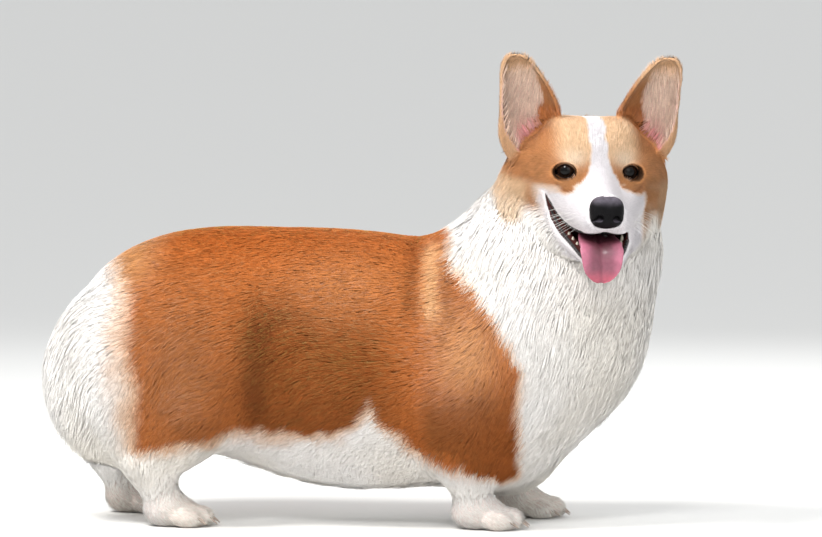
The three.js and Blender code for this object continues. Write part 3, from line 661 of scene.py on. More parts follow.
skin_points, skin_quads = largest_part(*surface_net(above_floor, skin_lines))
print("skin net:", skin_points.shape[1], "points and", len(skin_quads), "four-sided faces")

# %% [markdown]
# ## Markings
# A red corgi is orange-red over the back, sides and head, with a white collar, chest, legs and belly, a
# blaze between the eyes and a white muzzle. The colour of every hair and of the skin under it comes
# from one function of its place, so both carry the same markings. Its edges wander with a little noise,
# because a coat has no ruled lines.


# %% Noise and colour helpers
def lattice(corner, seed):
    """A repeatable value from -1 to 1 for each whole-number corner, by mixing the bits of its numbers."""
    h = (corner * np.array([[73856093], [19349663], [83492791]])).astype(np.int64)
    h = h[0] ^ h[1] ^ h[2] ^ (seed * 2654435761)
    h = (h ^ (h >> 13)) * 1274126177 & 0xFFFFFFFF
    h = (h ^ (h >> 16)) * 2246822519 & 0xFFFFFFFF
    return ((h ^ (h >> 15)) & 0xFFFFFF) / 0x7FFFFF - 1.0


def noise(p, cell, seed):
    """Smooth noise: the eight lattice values round each place, blended by its eased place in the cell."""
    q = p / cell
    base = np.floor(q)
    t = ease(q - base)
    base = base.astype(np.int64)
    total = 0
    for c in np.array([(i, j, k) for i in (0, 1) for j in (0, 1) for k in (0, 1)]):
        weight = np.prod(np.where(c[:, None] == 1, t, 1 - t), axis=0)
        total = total + weight * lattice(base + c[:, None], seed)
    return total


def linear(red, green, blue):
    """A colour as seen on a screen, 0 to 255, as the light it stands for."""
    c = np.array([red, green, blue]) / 255
    return np.where(c <= 0.04045, c / 12.92, ((c + 0.055) / 1.055) ** 2.4)


def everywhere(colour, places):
    """One colour, once for each place."""
    return np.repeat(colour[:, None], len(places), 1)


def towards(colour, other, share):
    """Each place's colour moved towards another by its share."""
    other = other[:, None] if other.ndim == 1 else other
    return colour + (other - colour) * share


# %% The markings
RED = linear(176, 96, 44)
DEEP_RED = linear(172, 84, 30)
DARK = linear(104, 52, 22)
TAN = linear(214, 152, 96)
PALE = linear(236, 212, 184)
WHITE = linear(250, 246, 242)
CREAM = linear(242, 234, 220)
FACE_WHITE = linear(228, 223, 226)
BUFF = linear(228, 174, 122)
SAND = linear(234, 196, 156)
FOX = linear(190, 128, 82)
BROWN = linear(150, 104, 66)
PINK = linear(222, 178, 168)
CUP_PALE, CUP_PINK, CUP_TAN = linear(238, 196, 182), linear(224, 138, 140), linear(216, 160, 118)
LIP_BLACK, RIM_BLACK, LID_BLACK = linear(24, 18, 18), linear(20, 15, 14), linear(20, 14, 13)
MOUTH_RED = linear(74, 38, 36)
MIXED = 3.2  # times white and what is left of it: how far the coat turns tan at a white edge
# Place along the body and height of the red coat's lower edge, with its notch behind the shoulder
BELLY_EDGE = np.array(
    [
        [-320, 60],
        [-230, 70],
        [-122, 86],
        [-50, 88],
        [0, 93],
        [14, 106],
        [26, 120],
        [38, 106],
        [60, 82],
        [97, 61],
        [200, 54],
    ],
    float,
)
# Height and place along the body where the white breeches start
BREECH_EDGE = np.array(
    [
        [50, -206],
        [81, -211],
        [150, -217],
        [226, -219],
        [245, -224],
        [262, -244],
        [300, -290],
    ],
    float,
)


# %% The body's colours
def red_of_body(p, wander):
    """Red, moved towards deeper red along the back, towards tan where hair lies apart, so that the
    paler hair under it shows, and towards dark as painted shade in creases, low on the sides and on the
    flanks."""
    x, y, z = p
    on_side = ease((np.abs(y) - 40) / 30)
    fleck = noise(p, 22, 3)
    colour = everywhere(RED, x)
    colour = towards(colour, DEEP_RED, 0.75 * ease((z - 236) / 50) + 0.18 * fleck * (fleck > 0))
    # Painted shade: darker in the crease before the thigh, low on the sides and on the flanks
    crease_shade = bell((x + 88 - 0.08 * (z - 150)) / 17) * ease((z - 70) / 60) * ease((234 - z) / 50)
    colour = towards(colour, DARK, 0.75 * crease_shade * on_side)
    under = ease((262 - z) / 90) * ease((x + 110) / 30) * ease((70 - x) / 50)
    colour = towards(colour, DARK, 0.6 * under)
    flank_shade = bell((x + 58) / 34, (z - 196) / 26) * on_side
    colour = towards(colour, DARK, 0.75 * flank_shade * ease(0.75 + noise(p, 16, 6)))
    ribs = bell((x + 2) / 60, (z - 236) / 34)
    colour = towards(colour, TAN, 0.25 * ribs)
    croup = ease((-166 - x) / 50) * ease((z - 214) / 40)
    colour = towards(colour, TAN, 0.7 * croup)
    # Behind the neck the coat is folded: two dark stripes of painted shade in its creases, with a pale
    # stripe between them
    bend = x - 87 + 0.3 * wander
    reach = ease((z - 186) / 34) * ease((286 - z) / 22)
    sides = bell((bend + 22) / 9) + bell((bend - 17) / 7)
    colour = towards(colour, DARK, 0.5 * sides * reach)
    colour = towards(colour, BUFF, 0.8 * bell(bend / 9) * reach)
    shoulder = np.exp(-((x - 122) ** 2 / 1300 + (z - 172) ** 2 / 2600))
    colour = towards(colour, BUFF, 0.5 * shoulder)
    thigh = np.exp(-((x + 160) ** 2 / 2200 + (z - 150) ** 2 / 5200)) * ease((np.abs(y) - 50) / 30)
    return towards(colour, BROWN, 0.5 * thigh)


def white_of_body(p, wander):
    """The share of white: 1 ahead of the collar's edge, behind the breeches' edge, under the belly's
    edge, between the legs and on the hind feet, and 0 on the upper arm. Also how far it is that arm."""
    x, y, z = p
    collar = ease((x - collar_edge(z) + wander) / 16 + 0.5)
    behind = ease((np.interp(z, BREECH_EDGE[:, 0], BREECH_EDGE[:, 1]) - x + wander) / 44 + 0.5)
    below = ease((np.interp(x, BELLY_EDGE[:, 0], BELLY_EDGE[:, 1]) - z + wander) / 22 + 0.5)
    inner = ease((34 - np.abs(y)) / 22) * ease((120 - z) / 40)
    fore_top = 74 - 0.6 * (x - 97)
    arm = ease((x - 78) / 14) * ease((176 - x) / 10) * ease((np.abs(y) - 40) / 16) * ease((166 - z) / 70)
    red_arm = arm * ease((z - fore_top + wander) / 12 + 0.5)
    white = np.maximum.reduce([collar, behind, below, inner]) * (1 - red_arm)
    hind_foot = ease((72 - z + wander) / 18) * ease((-90 - x) / 20)
    return np.maximum(white, hind_foot), red_arm


def body_colour(p):
    """The red coat's shades, darker on the arm, and a white that is cream in places over them by the
    share of white."""
    wander = 9 * noise(p, 34, 1) + 4 * noise(p, 12, 2)
    white, red_arm = white_of_body(p, wander)
    colour = towards(red_of_body(p, wander), DARK, 0.5 * red_arm)
    cream = ease(0.5 + 0.6 * noise(p, 50, 5)) * 0.7
    soft_white = towards(everywhere(WHITE, white), CREAM, cream)
    # Where red and white hairs mix they look tan
    colour = towards(colour, BUFF, MIXED * white * (1 - white))
    return towards(colour, soft_white, white), white


# %% The face's colours
def red_of_face(q):
    """Fox red, moved towards sand on the forehead, pale over the eyes and in streaks on the cheeks, and
    brown under the eyes and on the temples, with a dark line of painted shade in the crease under each
    eye."""
    f, l, u = q
    side = np.abs(l)
    colour = everywhere(FOX, f)
    forehead = ease((u - 4) / 16) * ease((48 - side) / 20) * ease((54 - u) / 14)
    colour = towards(colour, SAND, 0.85 * forehead)
    ear_foot = ease((u - 22) / 18) * ease((side - 38) / 14)
    colour = towards(colour, RED, 0.4 * ear_foot)
    brow = bell((side - 24) / 12, (u - 12) / 8)
    colour = towards(colour, PALE, 0.85 * brow * (f > -50))
    pouch = np.hypot((side - 32) / 15, u / 17.5)
    colour = towards(colour, BROWN, 0.6 * ease((1.15 - pouch) / 0.3) * ease((4 - u) / 8))
    # Painted shade: a dark line along the crease at the edge of the pouch under each eye
    fold_shade = bell((pouch - 1) / 0.08) * ease((-6 - u) / 6) * ease((46 - side) / 6)
    colour = towards(colour, DARK, 0.5 * fold_shade)
    temple = bell((side - 60) / 14, (u + 4) / 20)
    colour = towards(colour, BROWN, 0.5 * temple * ease(0.6 + noise(q + 70, 4, 15)))
    streak = ease((side - 44) / 10) * ease((-8 - u) / 16)
    return towards(colour, PALE, 0.45 * streak * ease(0.5 + noise(q + 90, 13, 14)))


def white_of_face(q, wander):
    """The share of white: the blaze, the muzzle up to an edge that falls away to the sides, the chin,
    the cheeks' lower part and the nape, less the dog's left cheek, where painted shade replaces the white.
    Also how far it is that cheek."""
    f, l, u = q
    side = np.abs(l)
    blaze_half = np.interp(u, [-30, -16, -6, 8, 12, 30, 46, 60], [40, 20, 14, 9.5, 8.9, 7.8, 8.2, 7])
    blaze_middle = np.interp(u, [-10, 12, 30, 46], [0, 0.3, -1.8, 0.8])
    blaze = ease((blaze_half - np.abs(l - blaze_middle) + 0.6 * wander) / 3.5 + 0.5) * ease((f + 62) / 8)
    muzzle_edge = np.interp(side, [0, 8.6, 18.7, 32.5, 45, 58, 64], [20, 7, -12.2, -19.6, -19, -18.5, -30])
    muzzle = ease((muzzle_edge - u + wander) / 5 + 0.5) * ease((f + 22) / 16)
    muzzle = muzzle * ease((62 - side + wander) / 12)
    chin = ease((-46 - u) / 12) * ease((f + 30) / 20)
    cheek_white = ease((-60 - u + 2 * wander + 0.2 * (side - 50)) / 12 + 0.5)
    pale_side = ease((f + 14) / 14) * ease((side - 36) / 8) * ease((-12 - u) / 8) * (l < 0)
    # Painted shade: the dog's left cheek, on the head's far side, loses its white and turns brown
    shaded_far_cheek = ease((l - 42 + 0.5 * wander) / 6) * ease((4 - u) / 20) * ease((u + 92) / 16)
    nape = ease((-92 - f) / 12)
    white = np.maximum.reduce([blaze, muzzle, chin, cheek_white, 0.6 * pale_side, nape])
    return white * (1 - shaded_far_cheek), shaded_far_cheek


def face_colour(q):
    """The face's reds, browner on the left cheek as painted shade, with white over them by its share."""
    wander = 2.6 * noise(q + 400, 9, 11) + 1.4 * noise(q + 400, 4, 12)
    white, shaded_far_cheek = white_of_face(q, wander)
    colour = towards(red_of_face(q), BROWN, 0.6 * shaded_far_cheek)
    colour = towards(colour, SAND, MIXED * white * (1 - white))
    return towards(colour, FACE_WHITE, white), white


def cheek_patch(mass):
    """How far a place is on the pale patch of long hair behind each cheek."""
    f, l, u = mass["in_head_axes"]
    side = np.abs(l)
    patch = ease((89 - side) / 6) * ease((side - 60) / 12) * ease((u + 70 - 0.2 * np.abs(side - 80)) / 10)
    patch = patch * ease((-8 - u) / 12) * ease((84 - mass["head"]) / 12)
    return patch * ease((16 - f) / 14) * ease((f + 128) / 20)


# %% The ears' colours, and all together
def ear_colour(q):
    """Orange outside, along the rim and at the tip, pinkish on the cup's own surface, and pinker and
    darker low in the cup, partly the skin's own pink and partly painted shade deep in the cup."""
    f, l, u = q
    side = np.abs(l)
    cup = np.minimum(*(np.abs(ear_shell(q, s, CUP_ROWS, CUP_REACH) - 0.3) for s in (-1, 1)))
    wander = 3 * noise(q + 300, 7, 16) + 2 * noise(q + 300, 3, 17)
    inside = ease((2.6 - cup) / 1.4) * ease((96 - u + wander) / 14)
    inner_edge = np.interp(u, [20, 36, 51, 66, 84, 100], [57, 54, 52, 50, 56, 65])
    inside = inside * ease((side - inner_edge + wander) / 5 + 0.5)
    colour = everywhere(FOX, f)
    edge = 0.5 * ease((side - 62) / 16) * ease((94 - u) / 20)
    colour = towards(colour, SAND, 0.6 * ease((u - 70) / 24) + edge)
    colour = towards(colour, DEEP_RED, 0.5 * ease((66 - u) / 20) * ease((62 - side) / 10))
    # Low in the cup the colour turns pinker and darker: partly the skin's own pink, partly painted shade
    low = ease((52 - u) / 26) * ease((78 - side) / 12)
    inner = towards(everywhere(CUP_PALE, f), CUP_PINK, low)
    inner = towards(inner, CUP_TAN, 0.4 * ease((u - 66) / 24))
    return towards(colour, inner, inside), inside


def ear_share(mass):
    """1 on an ear, 0 away from both ears or where the head's own surface is near."""
    return ease((6 - ears(mass["in_head_axes"])) / 5) * ease((whole(mass) - 1) / 5)


def markings(p):
    """The colour of hair at each place, in linear light, what share of it is white and how far it is the
    bare inside of an ear."""
    mass = masses(p)
    q = mass["in_head_axes"]
    colour, white = body_colour(p)
    face, face_white = face_colour(q)
    in_head = ease((mass["trunk"] - mass["head"]) / 16 + 0.5)
    colour = towards(colour, face, in_head)
    white = white + (face_white - white) * in_head
    f, l, u = q
    patch = cheek_patch(mass)
    cheek = towards(everywhere(SAND, f), PALE, 0.4 * ease((-24 - u) / 24))
    # Painted shade: the patch is browner on the dog's left, the head's far side
    cheek = towards(cheek, BROWN, 0.7 * (l > 0))
    colour = towards(colour, cheek, 0.9 * patch)
    white = white * (1 - 0.9 * patch)
    on_ear = ear_share(mass)
    ear, ear_inside = ear_colour(q)
    colour = towards(colour, ear, on_ear)
    return np.clip(colour, 0, 1), white * (1 - on_ear), on_ear * ear_inside


# %% [markdown]
# ## Materials
# Hair is rough, a little glossy along its length, and painted darker at the roots than at the tips,
# as shade deep in the coat. Skin, eye, nose and tongue differ mostly in gloss and in the size of their
# grain. Colours that follow the markings come from a colour attribute, and fine grain comes from noise
# on object coordinates.


# %% Material helper
def material(name, colour=(0.5, 0.5, 0.5), attribute=None, grain=None, bump=None, **values):
    """A principled material. grain is (scale, low, high): noise that multiplies the colour.
    bump is (scale, depth in metres): noise that shapes the surface."""
    made = bpy.data.materials.new(name)
    made.use_nodes = True
    nodes, links = made.node_tree.nodes, made.node_tree.links
    shader = nodes["Principled BSDF"]
    shader.inputs["Base Color"].default_value = (*colour, 1)
    for key, value in values.items():
        shader.inputs[key.replace("_", " ")].default_value = value
    place = nodes.new("ShaderNodeTexCoord")

    def noise_node(scale):
        node = nodes.new("ShaderNodeTexNoise")
        node.inputs["Scale"].default_value = scale
        node.inputs["Detail"].default_value = 4
        links.new(place.outputs["Object"], node.inputs["Vector"])
        return node

    if attribute or grain:
        scale, low, high = grain or (100, 1, 1)
        spread = nodes.new("ShaderNodeMapRange")
        spread.inputs["From Min"].default_value = 0.3
        spread.inputs["From Max"].default_value = 0.7
        spread.inputs["To Min"].default_value = low
        spread.inputs["To Max"].default_value = high
        links.new(noise_node(scale).outputs["Fac"], spread.inputs["Value"])
        times = nodes.new("ShaderNodeVectorMath")
        times.operation = "SCALE"
        times.inputs[0].default_value = colour
        if attribute:
            held = nodes.new("ShaderNodeAttribute")
            held.attribute_name = attribute
            links.new(held.outputs["Color"], times.inputs[0])
        links.new(spread.outputs["Result"], times.inputs["Scale"])
        links.new(times.outputs["Vector"], shader.inputs["Base Color"])
    if bump:
        scale, depth = bump
        raised = nodes.new("ShaderNodeBump")
        raised.inputs["Strength"].default_value = 1.0
        raised.inputs["Distance"].default_value = depth
        links.new(noise_node(scale).outputs["Fac"], raised.inputs["Height"])
        links.new(raised.outputs["Normal"], shader.inputs["Normal"])
    return made


HAIR = material(
    "coat_hair",
    attribute="coat_colour",
    grain=(900, 0.92, 1.08),
    Roughness=0.75,
    Specular_IOR_Level=0.06,
    Subsurface_Weight=0.25,
    Subsurface_Radius=(1.0, 0.8, 0.65),
    Subsurface_Scale=0.004,
)
SKIN = material(
    "skin_under_coat",
    attribute="coat_colour",
    grain=(420, 0.85, 1.05),
    bump=(700, 0.0006),
    Roughness=0.78,
    Specular_IOR_Level=0.08,
)


# %% Mesh helper
def piece(name, points, faces, made, colour=None):
    """A smooth mesh object from places in millimetres (3, n) and faces (m, k) of k corners each."""
    mesh = bpy.data.meshes.new(name)
    count, sides = faces.shape
    mesh.vertices.add(points.shape[1])
    mesh.vertices.foreach_set("co", metres(points).ravel())
    mesh.loops.add(count * sides)
    mesh.loops.foreach_set("vertex_index", faces.astype(np.int32).ravel())
    mesh.polygons.add(count)
    mesh.polygons.foreach_set("loop_start", np.arange(0, count * sides, sides, dtype=np.int32))
    mesh.polygons.foreach_set("use_smooth", np.ones(count, bool))
    mesh.update(calc_edges=True)
    if colour is not None:
        held = mesh.attributes.new("coat_colour", "FLOAT_COLOR", "POINT")
        rgba = np.ones((points.shape[1], 4), np.float32)
        rgba[:, :3] = colour.T
        held.data.foreach_set("color", rgba.ravel())
    mesh.materials.append(made)
    thing = bpy.data.objects.new(name, mesh)
    bpy.context.scene.collection.objects.link(thing)
    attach(thing, "root")
    print(f"{name}: {points.shape[1]} points, {count} faces")
    return thing


# %% [markdown]
# ## The skin as one piece
# The skin replaces every solid of flesh, so no seam shows. Where hair is thin, as on the lips, the lids'
# edges and inside the mouth, the skin's own colour shows: black at the edges and dark red inside.


# %% Build the skin
def skin_colour(p):
    """The markings, painted darker under the coat as shade, with black lips and eye rims and a dark red
    mouth.
    """
    colour, white, in_ear = markings(p)
    q = to_head(p)
    # Painted shade: the skin is darker under the hair, a little less under white hair
    colour = colour * (0.88 + 0.06 * white)
    foot = ease((60 - p[2]) / 30)
    colour = towards(colour, PINK, 0.35 * foot)
    gap = mouth(q)
    lips = ease((2.6 - gap) / 1.4)
    inside = ease((1.2 - gap) / 1.2) * ease((60 - q[0]) / 6)
    colour = towards(colour, LIP_BLACK, lips)
    colour = towards(colour, MOUTH_RED, inside)
    rims = ease((1.5 - sockets(q, 1.0, 0.8)) / 1.0) * ease((9 - np.abs(q[2] - EYE_HEIGHT)) / 3)
    return towards(colour, RIM_BLACK, rims)


skin = piece("skin", skin_points, skin_quads, SKIN, skin_colour(skin_points))
FLESH = [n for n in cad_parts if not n.startswith(("eye_", "nose", "tongue"))]
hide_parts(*FLESH)
print("the skin stands for", len(FLESH), "solids")

# %% [markdown]
# ## Lofts
# Eyes, tongue, lips, teeth, claws and whiskers are all carried along a path: a ring of points at each
# step, joined to the next ring, with a fan over each end.


# %% Loft helper
def unit(v):
    """Each vector over its own length."""
    return v / np.maximum(np.linalg.norm(v, axis=0), 1e-9)


def outward(points, faces):
    """The faces turned round if the volume that they enclose is negative."""
    a, b, c = (points[:, faces[:, k]] for k in range(3))
    volume = (a * np.cross(b, c, axis=0)).sum()
    return faces if volume > 0 else faces[:, ::-1]


def closed_loft(rings):
    """rings is (3, r, n): n points on each of r rings. Two triangles span each side, and a fan runs from
    the middle of each end ring."""
    _, r, n = rings.shape
    i = np.arange(n)
    after = (i + 1) % n
    start = (np.arange(r - 1) * n)[:, None]
    a, b = start + i, start + after
    sides = [np.stack([a, b, b + n], -1).reshape(-1, 3), np.stack([a, b + n, a + n], -1).reshape(-1, 3)]
    first = np.stack([after, i, np.full(n, r * n)], 1)
    last = np.stack([(r - 1) * n + i, (r - 1) * n + after, np.full(n, r * n + 1)], 1)
    middles = [rings[:, k].mean(1)[:, None] for k in (0, -1)]
    points = np.concatenate([rings.reshape(3, -1), *middles], 1)
    return points, outward(points, np.concatenate([*sides, first, last]))


def several(parts):
    """Many lofts as one set of points and faces."""
    sizes = np.cumsum([0] + [p.shape[1] for p, _ in parts])
    points = np.concatenate([p for p, _ in parts], 1)
    return points, np.concatenate([f + n for (_, f), n in zip(parts, sizes)])


def tube(path, radii, around, flat=1.0):
    """A rod along path (3, n) with around points on each ring and a radius at each point of the path;
    flat narrows it across its second axis."""
    heading = unit(np.gradient(path, axis=1))
    aside = unit(np.cross(heading, np.array([[0.31], [0.11], [0.94]]), axis=0))
    over = np.cross(heading, aside, axis=0)
    turn = np.linspace(0, 2 * np.pi, around, endpoint=False)
    ring = aside[:, :, None] * np.cos(turn) + flat * over[:, :, None] * np.sin(turn)
    return closed_loft(path[:, :, None] + np.asarray(radii)[None, :, None] * ring)


# %% [markdown]
# ## Eyes
# A dog's eye is a dark wet ball that shows almost no white. The cornea bulges a little, the iris is a
# very dark brown with fine rays, and the lids are a black rim that thickens into the inner corner.

# %% Eyeballs
WET = material("eye_surface", attribute="coat_colour", Roughness=0.05, Specular_IOR_Level=0.2)
IRIS_EDGE, PUPIL_EDGE = 1.05, 0.42  # angles from the gaze
IRIS, PUPIL, IRIS_RIM, EYE_WHITE = linear(44, 28, 20), linear(6, 5, 5), linear(8, 6, 6), linear(92, 78, 74)
LID_ROOM, CORNEA_RISE = 0.25, 0.3


def eyeball(side):
    """Rings round the gaze. The radius rises a little over the cornea, as a bell curve of the angle."""
    away = np.linspace(0.02, np.pi - 0.02, 64)
    turn = np.linspace(0, 2 * np.pi, 72, endpoint=False)
    away, turn = np.meshgrid(away, turn, indexing="ij")
    radius = EYE_RADIUS - LID_ROOM + CORNEA_RISE * bell(away / 0.7)
    q = radius * np.stack([np.sin(away) * np.cos(turn), np.sin(away) * np.sin(turn), np.cos(away)])
    points, faces = closed_loft(q)
    away = np.arctan2(np.hypot(points[0], points[1]), points[2])
    turn = np.arctan2(points[1], points[0])
    rays = 0.5 + 0.3 * np.sin(37 * turn + 3 * np.sin(5 * turn)) + 0.2 * np.sin(83 * turn)
    colour = everywhere(IRIS, away) * (0.3 + 0.4 * rays)
    colour = colour * (0.5 + 0.8 * ease((IRIS_EDGE - away) / 0.5))
    colour = towards(colour, PUPIL, ease((PUPIL_EDGE - away) / 0.05 + 0.5))
    colour = towards(colour, IRIS_RIM, ease((away - IRIS_EDGE + 0.16) / 0.14))
    colour = towards(colour, EYE_WHITE, ease((away - IRIS_EDGE - 0.1) / 0.1))
    q = eye_axes(side).T @ points + eye_middle(side)[:, None]
    return from_head(q), faces, colour


for name, side in SIDES:
    points, faces, colour = eyeball(side)
    eye = piece(f"eye_ball_{name}", points, outward(points, faces), WET, colour)
    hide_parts(f"eye_{name}")

# %% Lids
LID_SKIN = material(
    "lid_skin", attribute="coat_colour", bump=(900, 0.0004), Roughness=0.6, Specular_IOR_Level=0.12
)
# Across a lid, from its edge outwards and back beneath: share of the almond, and height over the ball
LID_PROFILE = np.array(
    [
        [1.02, 0.1],
        [0.98, 0.4],
        [0.99, 0.7],
        [1.04, 1.0],
        [1.12, 1.2],
        [1.24, 1.2],
        [1.38, 0.8],
        [1.46, 0.0],
        [1.36, -0.9],
        [1.16, -0.9],
        [1.06, -0.4],
    ]
)


def almond(side, share, turn):
    """An ellipse, taller above than below and pinched towards its ends, with its inner end drawn out."""
    high = np.where(np.sin(turn) > 0, ALMOND_HIGH, ALMOND_LOW)
    x = ALMOND_HALF * np.cos(turn)
    y = high * np.sin(turn) * (1 - 0.25 * np.cos(turn) ** 2)
    inner = ease((-side * np.cos(turn) - 0.7) / 0.3)
    return share * x - side * 1.8 * inner, share * y - 1.5 * inner


def lids(side):
    """The profile carried round the almond, each point at its height over the eyeball."""
    turn = np.linspace(0, 2 * np.pi, 96, endpoint=False)
    share, turn = np.meshgrid(LID_PROFILE[:, 0], turn, indexing="ij")
    x, y = almond(side, share, turn)
    height = LID_PROFILE[:, 1][:, None] * (1 + 0.25 * np.sin(turn)) + EYE_RADIUS
    z = np.sqrt(np.maximum(height**2 - x * x - y * y, 4))
    r, n = x.shape
    number = np.arange(r * n).reshape(r, n)
    after, beyond = np.roll(number, -1, 1), np.roll(number, -1, 0)
    both = np.roll(after, -1, 0)
    faces = np.stack([number.ravel(), after.ravel(), both.ravel(), beyond.ravel()], 1)
    triangles = np.concatenate([faces[:, [0, 1, 2]], faces[:, [0, 2, 3]]])
    q = np.stack([x, y, z]).reshape(3, -1)
    points = from_head(eye_axes(side).T @ q + eye_middle(side)[:, None])
    black = ease((1.2 - share.ravel()) / 0.12)
    colour = towards(markings(points)[0], LID_BLACK, black)
    return points, outward(points, triangles), colour


for name, side in SIDES:
    points, faces, colour = lids(side)
    piece(f"lids_{name}", points, faces, LID_SKIN, colour)

# %% [markdown]
# ## Nose
# The nose pad is a soft black cushion with two comma-shaped nostrils and a groove between them. Its
# leather is made of small raised cells, which are too small to model and come from the material.

# %% Nose pad
NOSE_LEATHER = material(
    "nose_leather", attribute="coat_colour", grain=(260, 0.8, 1.3), Roughness=0.5, Specular_IOR_Level=0.1
)
nodes, links = NOSE_LEATHER.node_tree.nodes, NOSE_LEATHER.node_tree.links
cells = nodes.new("ShaderNodeTexVoronoi")
cells.inputs["Scale"].default_value = 950
place = nodes.new("ShaderNodeTexCoord")
links.new(place.outputs["Object"], cells.inputs["Vector"])
raised = nodes.new("ShaderNodeBump")
raised.invert = True
raised.inputs["Strength"].default_value = 0.5
raised.inputs["Distance"].default_value = 0.0005
links.new(cells.outputs["Distance"], raised.inputs["Height"])
links.new(raised.outputs["Normal"], nodes["Principled BSDF"].inputs["Normal"])
NOSTRILS = [
    ball([72.5, 5.4, -35.5], [6, 3.3, 3.2], 3),
    ball([72.5, -10.0, -35.5], [6, 3.3, 3.2], 3),
    rod([71, 7, -36], [65, 13.4, -39.5], 2.0, 1.1, 3),
    rod([71, -11.6, -36], [65, -18, -39.5], 2.0, 1.1, 3),
]


def nose_surface(q):
    """The cushion's forms, less the nostrils, their slits and the groove under them."""
    groove = distance(rod([73.5, -2.3, -35], [69, -2.3, -49], 0.6, 0.9), q)
    hollow = soft_min(joined(NOSTRILS, q), groove, 2)
    return np.maximum(joined(NOSE, q), -hollow)


NOSE_CELL = 0.7
NOSE_SPANS = ((42.0, 84.0), (-23.0, 19.0), (-53.0, -10.0))
nose_lines = [grid_lines(start, end, [(start, NOSE_CELL)]) for start, end in NOSE_SPANS]
nose_points, nose_quads = largest_part(*surface_net(nose_surface, nose_lines, reach=0.4))
nose_up = unit(slope(nose_surface, nose_points))[2]
# Painted sheen: the nose is lighter grey where it faces up, partly dry leather and partly painted sheen
NOSE_BLACK, NOSE_SHEEN_GREY = linear(10, 9, 11), linear(96, 90, 100)  # below, and on top, where the dry leather is greyer and a painted sheen lightens it
nose_colour = towards(everywhere(NOSE_BLACK, nose_up), NOSE_SHEEN_GREY, 0.7 * ease((nose_up - 0.2) / 0.7))
nose_points = from_head(nose_points)
nose = piece("nose_leather_pad", nose_points, nose_quads, NOSE_LEATHER, nose_colour)
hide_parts("nose")

# %% [markdown]
# ## Tongue
# The tongue comes over the lower lip and hangs, with a groove along its middle, thin edges that curl
# up, and a wet, finely bumpy skin.

# %% Tongue
TONGUE_SKIN = material(
    "tongue_skin",
    attribute="coat_colour",
    grain=(300, 0.9, 1.08),
    bump=(1500, 0.0005),
    Roughness=0.3,
    Specular_IOR_Level=0.5,
    Coat_Weight=0.25,
    Coat_Roughness=0.15,
)
TONGUE_MIDDLE, TONGUE_EDGE, TONGUE_TIP = linear(126, 66, 84), linear(184, 104, 128), linear(196, 84, 104)
# Painted shade: darker back in the mouth and along the groove
TONGUE_SHADE, FURROW_SHADE = linear(88, 46, 54), linear(112, 48, 66)
# Forward, up, half width and half thickness
TONGUE_ROWS = np.array(
    [
        [17, -54, 13, 5],
        [30, -60, 17, 5.5],
        [42, -63, 19, 5.5],
        [53, -64.5, 20.4, 5],
        [60.5, -69, 20.6, 4.4],
        [64.5, -77, 20.2, 3.8],
        [65.5, -84.5, 18.2, 3.4],
        [64.8, -91, 14.6, 3.0],
        [64.3, -95.6, 9.6, 2.5],
        [63.8, -98.2, 3.2, 1.5],
    ],
    float,
)
TONGUE_ASIDE = -5.0  # it hangs a little to the dog's right


def tongue():
    """Rings along the middle line. Each is flat, thinner at its edges, dips at its middle and curls up
    a little at its edges."""
    number = np.arange(float(len(TONGUE_ROWS)))
    rows = through(np.column_stack([number, TONGUE_ROWS]), np.linspace(0, number[-1], 66))
    f, u, half, thick = rows
    heading = unit(np.gradient(np.stack([f, u]), axis=1))
    turn = np.linspace(0, 2 * np.pi, 56, endpoint=False)
    x = half[:, None] * np.cos(turn) * (1 - 0.02 * np.sin(9 * f[:, None] / 10))
    share = np.cos(turn)
    rise = thick[:, None] * np.sign(np.sin(turn)) * np.abs(np.sin(turn)) ** 0.75
    fade = ease((u[:, None] + 99) / 16)
    furrow = 1.5 * bell(x / 1.8) * (np.sin(turn) > 0) * fade
    dip = furrow + 3.2 * fade * bell(x / 10)
    curl = 2.6 * share**4
    rise = rise - dip + curl
    forward = f[:, None] - rise * heading[1][:, None]
    upward = u[:, None] + rise * heading[0][:, None]
    points, faces = closed_loft(np.stack([forward, TONGUE_ASIDE + x, upward]))
    f, l, u = points
    across = np.abs(l - TONGUE_ASIDE)
    colour = towards(everywhere(TONGUE_MIDDLE, f), TONGUE_EDGE, 0.8 * ease((across - 8) / 10))
    colour = towards(colour, TONGUE_TIP, 0.6 * ease((-84 - u) / 12))
    # Painted shade: darker where the tongue lies back in the mouth, high in its middle under the lip, and
    # along its groove
    shaded = 0.8 * ease((u + 82) / 16) * ease((13 - across) / 10)
    throat = ease((62 - f) / 10) * ease((26 - across) / 14) + shaded
    colour = towards(colour, TONGUE_SHADE, np.minimum(throat, 0.88))
    colour = towards(colour, FURROW_SHADE, 0.5 * bell(across / 1.4))
    colour = colour * (1 + 0.1 * noise(points + 50, 2.2, 61))
    return from_head(points), faces, colour


points, faces, colour = tongue()
flesh = piece("tongue_wet", points, outward(points, faces), TONGUE_SKIN, colour)
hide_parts("tongue")

# %% [markdown]
# ## Lips, teeth and whiskers
# A black, slightly crinkled edge of bare skin borders the mouth on both sides. Small teeth stand just
# inside the lower lip, where the open mouth shows them. Whiskers spring from the muzzle.


# %% Lips
BESIDE_MIDLINE = 20.0  # any place past which a lip no longer rises


def side_of_face(f, u, sign, inset=1.6):
    """How far from the midline the face's surface lies at each f and u: halving the range 24 times."""
    near, far = np.zeros_like(f), np.full_like(f, 110.0)
    for _ in range(24):
        middle = (near + far) / 2
        inside = head(np.stack([f, sign * middle, u])) + inset < 0
        near, far = np.where(inside, middle, near), np.where(inside, far, middle)
    return sign * near


